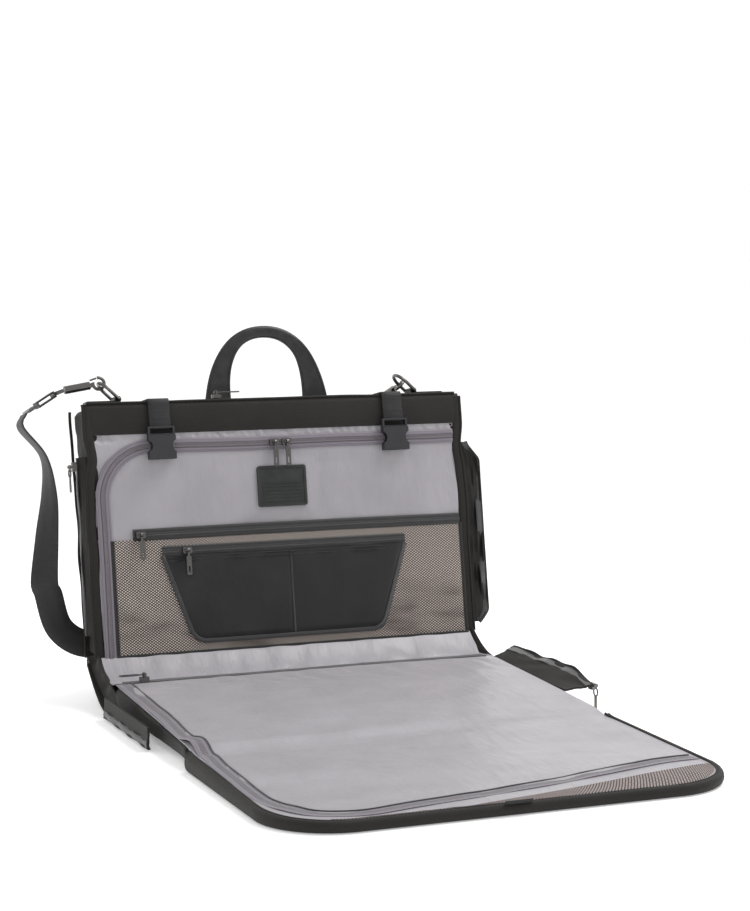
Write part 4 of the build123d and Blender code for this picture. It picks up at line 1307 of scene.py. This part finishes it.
    def fold_zipper(self) -> None:
        """Black zipper across the rear of the floor."""
        low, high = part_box("fold_zipper_tape")
        x = np.linspace(low.x, high.x, 110)
        y = np.full_like(x, (low.y + high.y) / 2) + 1.2 * MM * np.sin(x * 21)
        z = np.full_like(x, high.z - 0.6 * MM)
        self.lay(
            "fold_zipper", np.stack([x, y, z], 1), (0, -1, 0), tape_profile(14 * MM, 0.9 * MM, 0.7 * MM),
            BLACK_TAPE, "middle_section", "fold_zipper_tape"
        )

    def piping(self) -> None:
        """Padded binding round the end section, with a corded seam on it and a short pull tab."""
        inset = 5 * MM
        turn = np.linspace(0, math.pi / 2, 26)
        r = FLOOR.radius - inset
        side, far = FLOOR.half - inset, FLOOR.far + inset
        run = np.linspace(FLOOR.near - 1 * MM, far + r, 60)[:, None]
        right = np.hstack([np.full_like(run, side), run])
        arc = np.stack([side - r + r * np.cos(turn), far + r - r * np.sin(turn)], 1)[1:]
        cross = np.stack([np.linspace(side - r, -side + r, 90), np.full(90, far)], 1)[1:-1]
        half_line = np.vstack([right, arc])
        line = np.vstack([half_line, cross, half_line[::-1] * (-1, 1)])
        ripple = Ripples(81, 60 * MM, 180 * MM)
        x, y = line.T
        wobble = 1.2 * MM * ripple(x, y)
        top = FLOOR.top(y) + 1.5 * MM
        path = np.stack([x, y, top / 2 + 0.3 * MM], 1)
        self.lay(
            "end_binding_band", path, (0, 0, 1), round_profile(1.0, 10.5 * MM, 18), OUTER, "end_section",
            "end_binding", wide=top - 0.6 * MM
        )
        cord = np.stack([x * (1 - 3 * MM / np.maximum(np.abs(x), 0.05)), y + 2 * MM, top + wobble * 0.4], 1)
        cord[:, 2] -= 1.2 * MM
        self.lay(
            "end_binding_cord", cord, (0, 0, 1), round_profile(3.4 * MM, 3.4 * MM, 10), OUTER, "end_section"
        )
        tab_x = np.linspace(-26, 6, 12) * MM
        tab = np.stack([tab_x, np.full(12, FLOOR.far + 2.5 * MM), np.full(12, FLOOR.far_top + 1.5 * MM)], 1)
        self.lay("edge_tab", tab, (0, 1, -1), strap_profile(12 * MM, 1.6 * MM), WEBBING, "end_section")


@dataclass
class Hinge(Assembly):
    """Fabric between the floor and the upright section: spine, side webs and inner lining."""

    title: str = "hinge"

    def __post_init__(self) -> None:
        places = {j["name"]: np.array(j["pos_m"], float) for j in frame["joints"] if j["type"] == "hinge"}
        self.start, self.end = places["spine_fold"], places["upright_fold"]
        self.length = float(np.linalg.norm(self.end - self.start))
        self.along = (self.end - self.start) / self.length
        self.inner = np.array((0.0, -self.along[2], self.along[1]))

    def build(self) -> None:
        self.spine()
        self.roll()
        self.webs()
        self.valley()

    def roll(self) -> None:
        """Corded roll along the fold of spine and upright."""
        ripple = Ripples(96, 70 * MM, 200 * MM)
        x = np.linspace(-1, 1, 80) * (UPRIGHT.half - 5 * MM)
        path = self.end + np.stack([x, 0.8 * MM * ripple(x, 0 * x), 1.5 * MM + 0 * x], 1)
        self.lay(
            "spine_roll", path, (0, 1, 0), round_profile(17 * MM, 15 * MM, 18), OUTER, "upright_section"
        )

    def spine(self) -> None:
        """Bowed panel under the hinge."""
        size = (2 * (UPRIGHT.half - 2 * MM), self.length - 4 * MM, 4 * MM)
        ripple = Ripples(91, 80 * MM, 240 * MM)

        def place(p: Array) -> Array:
            share = np.clip(p[:, 1] / size[1] + 0.5, 0, 1)
            bow = 14 * MM * np.sin(
                np.pi * share**0.72
            ) + 0.8 * MM * ripple(p[:, 0], p[:, 1]) * np.sin(np.pi * share)
            s = p[:, 1] + self.length / 2
            out = self.start + s[:, None] * self.along + (p[:, 2] - bow)[:, None] * self.inner
            out[:, 0] = p[:, 0]
            return out

        piece = soft_block("spine_cover", place, size, 1.9 * MM, 48)
        reshape(piece, lambda p: np.stack([p[:, 0], p[:, 1], np.maximum(p[:, 2], 0.3 * MM)], 1))
        self.add(piece, OUTER, "spine_section", "spine_panel")
        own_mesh(piece)

    def webs(self) -> None:
        """Triangular gusset at each side, tucked between floor and upright."""
        rear = UPRIGHT.point(0.0, UPRIGHT.depth_low - 8 * MM, UPRIGHT.low + 6 * MM)[1:]
        front = UPRIGHT.point(0.0, 2 * MM, UPRIGHT.low + 10 * MM)[1:]
        low = np.array((FLOOR.rear - 6 * MM, 9 * MM))
        high = np.array((FLOOR.rear - 10 * MM, FLOOR.rear_top - 4 * MM))
        u, v = np.linspace(0, 1, 34)[None, :, None], np.linspace(0, 1, 18)[:, None, None]
        bottom = low + (rear - low) * u - np.array((0, 1)) * 5 * MM * np.sin(np.pi * u)
        top = high + (front - high) * u - np.array((0, 1)) * 7 * MM * np.sin(np.pi * u)
        grid = bottom + (top - bottom) * v
        ripple = Ripples(92, 24 * MM, 60 * MM)
        for side, word in ((-1, "left"), (1, "right")):
            tuck = (7 + 3 * ripple(grid[..., 0], grid[..., 1])) * MM * np.sin(np.pi * v[..., 0]) ** 0.7
            x = side * (UPRIGHT.half - 3 * MM - tuck)
            front_grid = np.concatenate([x[..., None], grid], -1)
            piece = sheet_mesh(f"{word}_side_web", front_grid, (-side * 1.6 * MM, 0, 0))
            self.add(piece, OUTER, "spine_section")

    def valley(self) -> None:
        """Lining from the floor to the foot of the upright, in two pieces."""
        rear_edge = np.array((FLOOR.rear - 3 * MM, FLOOR.rear_top - 0.4 * MM))
        foot = UPRIGHT.point(0.0, 0.4 * MM, UPRIGHT.low + 4 * MM)[1:]
        middle = np.array((FLOOR.rear + 30 * MM, FLOOR.rear_top - 3 * MM))
        side = UPRIGHT.half - 9 * MM
        self.skirt("valley_lining", rear_edge, middle, side, SATIN, ("middle_section", "spine_section"), 93)
        self.skirt(
            "valley_skirt", middle - np.array((3, 0.4)) * MM, foot, side, SATIN,
            ("spine_section", "upright_section"), 94
        )

    def skirt(
        self, name: str, start: Array, end: Array, side: float, finish: Finish, bodies: tuple[str, str],
        seed: int
    ) -> None:
        """One strip of lining from start to end, both (y, z)."""
        x = np.linspace(-side, side, 150)[None, :]
        t = np.linspace(0, 1, 26)[:, None]
        folds = Ripples(seed, 30 * MM, 90 * MM, 0.3, 0.6, 9)
        y = start[0] + (end[0] - start[0]) * t
        z = start[1] + (end[1] - start[1]) * t - 3 * MM * np.sin(np.pi * t)
        z = z + (1.0 + 2.2 * folds(x, y)) * MM * np.sin(np.pi * t) ** 0.8
        front = np.stack(np.broadcast_arrays(x, y, z), -1)
        piece = sheet_mesh(name, front, (0, 0, -LINING_THICK * MM))
        self.add(piece, finish, "")
        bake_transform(piece)


# ---------------------------------------------------------------- flaps, straps and handle
@dataclass
class Flap(Assembly):
    """One side flap: doubled cloth with a corded edge and half a zipper along it."""

    title: str = "flap"
    node: str = ""
    wave: float = 3 * MM
    seed: int = 1

    def build(self) -> None:
        """Lays a waved strip between the flap's fold line and its free edge."""
        on_upright = "upright" in self.node
        side = 1 if self.node.startswith("right") else -1
        low, high = (np.array(b) for b in (UPRIGHT.box(self.node) if on_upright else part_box(self.node)))
        flat = side > 0
        if flat:
            low[0] = UPRIGHT.half - 4 * MM
        if flat and on_upright:
            low[2], high[0] = low[2] - 18 * MM, high[0] - 8 * MM
        if flat and not on_upright:
            high[1] += 36 * MM
        t = np.linspace(0, 1, 70)[:, None]
        s = np.linspace(0, 1, 12)[None, :]
        ripple = Ripples(self.seed, 50 * MM, 130 * MM, 0.0, 0.4, 6)
        if on_upright:
            h = low[2] + (high[2] - low[2]) * t
            wob = self.wave * s * ripple(h, s)
            taper = 0.3 + 0.7 * smooth((1 - t) * 9) * smooth(0.35 + t * 9)
            if flat:
                x = low[0] + (high[0] - low[0]) * s * taper + wob * 0.4
                d = (low[1] + high[1]) / 2 + wob
                inward = UPRIGHT.back * FLAP_THICK * MM
            else:
                x = (low[0] + high[0]) / 2 + wob * 0.5 + (1 - s) ** 2 * 7 * MM + 0 * h
                d = low[1] + (high[1] - low[1]) * s + 0 * h
                inward = np.array((FLAP_THICK * MM, 0, 0))
            front = UPRIGHT.point(x + 0 * t, d + 0 * t, h + 0 * s)
        else:
            y = low[1] + (high[1] - low[1]) * t
            wob = self.wave * s * ripple(y, s)
            if flat:
                x = low[0] + (high[0] - low[0]) * s + 0 * t
                z = high[2] - 1.5 * MM + wob * 0.5 + 17 * MM * s * smooth(0.25 + t * 3)
                inward = np.array((0, 0, -FLAP_THICK * MM))
            else:
                x = (low[0] + high[0]) / 2 + wob * 0.5
                z = high[2] + (low[2] - high[2]) * s + 0 * t
                inward = np.array((FLAP_THICK * MM, 0, 0))
            front = np.stack(np.broadcast_arrays(x, y + 0 * s, z), -1)
        piece = sheet_mesh(f"{self.node}_cloth", front, inward)
        self.add(piece, OUTER, self.node, self.node)
        edge = front[:, -1] + inward / 2
        self.lay(f"{self.node}_cord", edge, inward, round_profile(4.6 * MM, 3.6 * MM, 10), OUTER, self.node)
        teeth = front[:, -3] - inward * 0.1
        across = front[:, -1] - front[:, -4]
        self.lay(
            f"{self.node}_zipper", teeth, across, tape_profile(9 * MM, 0.7 * MM, 0.6 * MM), BLACK_TAPE,
            self.node
        )


@dataclass
class CarryHandle(Assembly):
    """Leather handle: flat feet that roll into a rounder grip."""

    title: str = "carry handle"

    def build(self) -> None:
        low, high = UPRIGHT.box("carry_handle")
        d = (low[1] + high[1]) / 2
        foot, reach, rise = 38 * MM, high[0], high[2] - low[2]
        t = np.linspace(-1, 1, 120)
        near = 1 - np.abs(t)
        bend = near[:, None]
        knots_in = np.array(
            [
                (reach - foot, 0.0), (reach - foot + 2 * MM, 0.44 * rise),
                (reach - foot - 8 * MM, rise - 17 * MM), (0, rise - 17 * MM)
            ]
        )
        knots_out = np.array(
            [(reach, 0.0), (reach - 8 * MM, 0.52 * rise), (reach - foot + 4 * MM, rise), (0, rise)]
        )

        def bezier(k: Array) -> Array:
            rest = 1 - bend
            return rest**3 * k[0] + 3 * rest**2 * bend * k[1] + 3 * rest * bend**2 * k[2] + bend**3 * k[3]

        inside, outside = bezier(knots_in), bezier(knots_out)
        centre = (inside + outside) / 2
        width = np.linalg.norm(outside - inside, axis=1)
        grip = smooth((near - 0.45) / 0.4)
        x, h = centre[:, 0] * np.sign(t), low[2] + centre[:, 1]
        dip = 2.0 * MM * np.sin(near * 9) * (1 - grip) * near
        path = UPRIGHT.point(x, d + dip, h)
        across = np.cross(UPRIGHT.back, np.gradient(path, axis=0))
        thick = 3.4 * MM + grip * 7.0 * MM
        profile = round_profile(1.0, 1.0, 22)
        profile = np.sign(profile) * np.abs(profile * 2) ** 0.62 / 2
        piece = self.lay(
            "carry_handle_leather", path, across, profile, LEATHER, "carry_handle", "carry_handle",
            wide=width, thick=thick
        )
        for word, sign in (("inner", -1), ("outer", 1)):
            keep = (near > 0.04) & (near < 0.62)
            for part, chosen in (("left", keep & (t < 0)), ("right", keep & (t > 0))):
                offset = sign * (width[chosen] / 2 - 3.2 * MM)
                unit = across[chosen] / np.linalg.norm(across[chosen], axis=1, keepdims=True)
                line = path[chosen] + unit * offset[:, None] - UPRIGHT.back * (
                    thick[chosen, None] / 2 + 0.1 * MM
                )
                self.lay(
                    f"handle_stitch_{word}_{part}", line, unit, round_profile(1.3 * MM, 0.9 * MM, 8),
                    WEBBING, "carry_handle"
                )
        for part, sign in (("left", -1), ("right", 1)):
            strip = UPRIGHT.point(
                sign * (reach - foot / 2) + np.linspace(-foot / 2 - 3 * MM, foot / 2 + 3 * MM, 14), d,
                UPRIGHT.top + 0.5 * MM
            )
            self.lay(
                f"handle_foot_{part}", strip, UPRIGHT.back, strap_profile(26 * MM, 1.4 * MM), LEATHER,
                "upright_section"
            )


@dataclass
class BuckleStrap(Assembly):
    """Webbing over the top edge that carries one female buckle."""

    title: str = "buckle strap"
    side: int = -1

    def build(self) -> None:
        word = "left" if self.side < 0 else "right"
        low, high = UPRIGHT.box(f"{word}_buckle_webbing")
        x, width = (low[0] + high[0]) / 2, high[0] - low[0]
        top = UPRIGHT.top
        front = low[1] + 0.9 * MM
        profile = strap_profile(width, 1.8 * MM)
        bar = UPRIGHT.box(f"{word}_female_buckle")[1][2] - 3.0 * MM
        knots = [
            (2.5 * MM, top + 1.2 * MM), (-0.5 * MM, top + 1.0 * MM), (front + 0.2 * MM, top - 3 * MM),
            (front, top - 14 * MM), (front - 0.6 * MM, top - 26 * MM), (front - 1.5 * MM, bar + 4 * MM),
            (front - 2.5 * MM, bar - 1 * MM)
        ]
        line = curve_through(knots, 2 * MM)
        path = UPRIGHT.point(x, line[:, 0], line[:, 1])
        self.lay(
            f"{word}_buckle_strap_webbing", path, (1, 0, 0), profile, WEBBING, f"{word}_buckle_strap",
            f"{word}_buckle_webbing"
        )
        keeper = UPRIGHT.point(x, front - 2.0 * MM, np.linspace(bar + 1 * MM, bar + 13 * MM, 8))
        self.lay(
            f"{word}_buckle_keeper", keeper, (1, 0, 0), strap_profile(width, 1.6 * MM), WEBBING,
            f"{word}_buckle_strap"
        )
        anchor = UPRIGHT.point(x, np.linspace(3.2 * MM, 38 * MM, 20), top + 1.3 * MM)
        self.lay(
            f"{word}_strap_anchor", anchor, (1, 0, 0), profile, WEBBING, "upright_section",
            *(["strap_anchors"] if self.side < 0 else [])
        )


@dataclass
class ShoulderStrap(Assembly):
    """Flat webbing from the adjuster, down the left side, round the foot and up behind the bag."""

    title: str = "shoulder strap"
    width: float = 38 * MM

    def build(self) -> None:
        """Follows the strap from the adjuster to the far leather loop."""
        out, crossing = self.route()
        line = curve_through(np.hstack([out, crossing]), 5 * MM)
        path = UPRIGHT.point(line[:, 0], line[:, 1], line[:, 2])
        wide = UPRIGHT.point(line[:, 3], line[:, 4], line[:, 5]) - UPRIGHT.origin
        self.lay(
            "shoulder_strap_webbing", path, wide, strap_profile(self.width, 2.0 * MM), WEBBING,
            "shoulder_strap", "shoulder_webbing"
        )

    def route(self) -> tuple[Array, Array]:
        """Where the strap's centre passes, and the direction of its width there, in upright axes."""
        adjuster, loops = UPRIGHT.box("strap_adjuster"), UPRIGHT.box("strap_loops")
        node = UPRIGHT.box("shoulder_webbing")
        side, depth = node[0][0], (adjuster[0][1] + adjuster[1][1]) / 2
        top, far_end = node[1][2], node[1][0]
        foot = UPRIGHT.low + 24 * MM
        rear = UPRIGHT.rear(foot) + 10 * MM
        hang = [(6, 0, -2), (0.5, 0, -20), (30, 2, -60), (36, 6, -110), (30, 8, -170), (24, 11, -230)]
        places = [(side + x * MM, depth + d * MM, top + h * MM) for x, d, h in hang]
        places += [
            (side + 30 * MM, depth + 18 * MM, foot + 70 * MM),
            (side + 45 * MM, rear - 3 * MM, foot + 24 * MM),
            (side + 78 * MM, rear + 1 * MM, foot), (side + 120 * MM, rear, foot + 4 * MM),
            (side + 184 * MM, rear, foot + 34 * MM),
        ]
        start = np.array(places[-1])
        finish = np.array((far_end - 19 * MM, node[1][1] - 4 * MM, loops[0][2] - 4 * MM))
        climb = [start + (finish - start) * t for t in (0.25, 0.5, 0.75, 1.0)]
        places += [tuple(p + (0, 9 * MM * math.sin(math.pi * n / 4), 0)) for n, p in enumerate(climb, 1)]
        turned = [(0, 1, 0)] * 3 + [
            (-0.35, 1, 0), (-0.9, 1, 0), (-1, 0.5, 0), (-1, 0.25, 0.1), (-1, 0.05, -0.4)
        ]
        turned += [
            (-0.5, 0, -1), (0, 0, -1), (0.45, 0, -1)
        ] + [(0.62, 0, -1)] * 2 + [(0.8, 0, -0.6), (1, 0, -0.1)]
        return np.array(places), -np.array(turned, float)


class Hardware(Assembly):
    """CAD pieces whose shapes are right: they get a finish and softened edges."""

    def __init__(self) -> None:
        super().__init__("hardware")

    def build(self) -> None:
        """Dresses every CAD node that is still shown."""
        plain = {"male_buckles": PLASTIC, "left_female_buckle": PLASTIC, "right_female_buckle": PLASTIC,
                 "rubber_patch": RUBBER, "ring_tabs": LEATHER, "strap_loops": LEATHER, "back_board": BOARD,
                 "hanger_bracket": STEEL, "hanging_hook": STEEL}
        for name, node in sorted(frame["nodes"].items()):
            if node.hide_render:
                continue
            WARDROBE.dress(node, plain.get(name, GUNMETAL))
            soften = node.modifiers.new("soft_edges", "BEVEL")
            soften.width = (PLAIN_EDGE if name in plain else METAL_EDGE) * MM
            soften.segments, soften.limit_method = 2, "ANGLE"
            soften.angle_limit = math.radians(40)
            log.info("hardware: %s", name)


# ---------------------------------------------------------------- room
# Each light: name, place, the point it looks at, its size in metres and its power in watts.
LIGHTS = (
    ("key", (1.3, -0.3, 2.4), (0.0, -0.25, 0.1), 1.5, 52),
    ("front", (-1.2, -2.8, 1.7), (0.0, 0.0, 0.2), 2.2, 15),
    ("rim", (-1.6, 1.2, 1.6), (0.0, 0.0, 0.2), 1.4, 6),
)
EYE = (-0.980, -2.750, 0.574)
VIEW_DEGREES = (21.8, 4.7, 0.5)  # yaw, pitch down and roll
LENS, SENSOR, SHIFT = 85.5, 36.0, -0.0143  # focal length and sensor in millimetres


class Studio:
    """Pale floor that curves up into a backdrop, soft light and the camera."""

    def build(self) -> None:
        self.floor()
        self.lights()
        self.camera()

    def floor(self) -> None:
        """One sheet: floor, curve and wall."""
        turn = np.linspace(0, math.pi / 2, 16)
        radius, depth, half = 1.6, 3.4, 9.0
        y = np.concatenate([[-9.0], depth + radius * np.sin(turn), [depth + radius]])
        z = np.concatenate([[0.0], radius - radius * np.cos(turn), [7.0]])
        x = np.linspace(-half, half, 3)
        grid = np.stack(np.broadcast_arrays(x[None, :], y[:, None], z[:, None]), -1)
        piece = sheet_mesh("studio_floor", grid, (0, 0.02, -0.02))
        shader = Shader("studio_paper")
        where = shader.coordinates("Object")
        speck = shader.noise(where, 0.4, 2.0)
        shader.paint(
            Base_Color=shader.mix(speck, (0.93, 0.93, 0.93, 1), (0.97, 0.97, 0.97, 1)), Roughness=0.85,
            Emission_Color=(1, 1, 1, 1), Emission_Strength=0.3
        )
        piece.data.materials.append(shader.material)

    def lights(self) -> None:
        """White surroundings and three large soft lights."""
        world = bpy.data.worlds.new("studio")
        world.use_nodes = True
        world.node_tree.nodes["Background"].inputs[0].default_value = (1, 1, 1, 1)
        world.node_tree.nodes["Background"].inputs[1].default_value = 0.6
        bpy.context.scene.world = world
        bpy.context.scene.view_settings.view_transform = "Standard"
        for light in LIGHTS:
            self.area(*light)

    def area(
        self, name: str, place: Sequence[float], aim: Sequence[float], size: float, power: float
    ) -> None:
        """A square light that looks at a point."""
        data = bpy.data.lights.new(name, "AREA")
        data.size, data.energy = size, power
        light = bpy.data.objects.new(name, data)
        light.location = place
        light.rotation_euler = (Vector(aim) - Vector(place)).to_track_quat("-Z", "Y").to_euler()
        bpy.context.scene.collection.objects.link(light)

    def camera(self) -> None:
        """Eye just above the bag's top edge, to its left, looking slightly down."""
        data = bpy.data.cameras.new("eye")
        data.lens, data.sensor_width, data.shift_x = LENS, SENSOR, SHIFT
        data.dof.use_dof = False
        camera = bpy.data.objects.new("eye", data)
        yaw, pitch, roll = (math.radians(a) for a in VIEW_DEGREES)
        camera.location = EYE
        ahead = Vector((math.sin(yaw) * math.cos(pitch), math.cos(yaw) * math.cos(pitch), -math.sin(pitch)))
        camera.rotation_euler = ahead.to_track_quat("-Z", "Y").to_euler()
        camera.rotation_euler.rotate_axis("Z", -roll)
        bpy.context.scene.collection.objects.link(camera)
        bpy.context.scene.camera = camera


def main() -> None:
    """Builds every part of the bag, then the room."""
    logging.basicConfig(level=logging.INFO, format="%(name)s %(message)s")
    parts = [UprightBag(), UprightFront(), FloorSections(), Hinge()]
    flaps = [
        ("left_upright_flap", 2.0, 101), ("right_upright_flap", 4.0, 102), ("left_middle_flap", 2.5, 103),
        ("right_middle_flap", 4.0, 104)
    ]
    parts += [Flap("flap", node, wave * MM, seed) for node, wave, seed in flaps]
    parts += [CarryHandle(), BuckleStrap(side=-1), BuckleStrap(side=1), ShoulderStrap(), Hardware()]
    for part in parts:
        part.build()
    Studio().build()


if __name__ == "__main__":
    main()
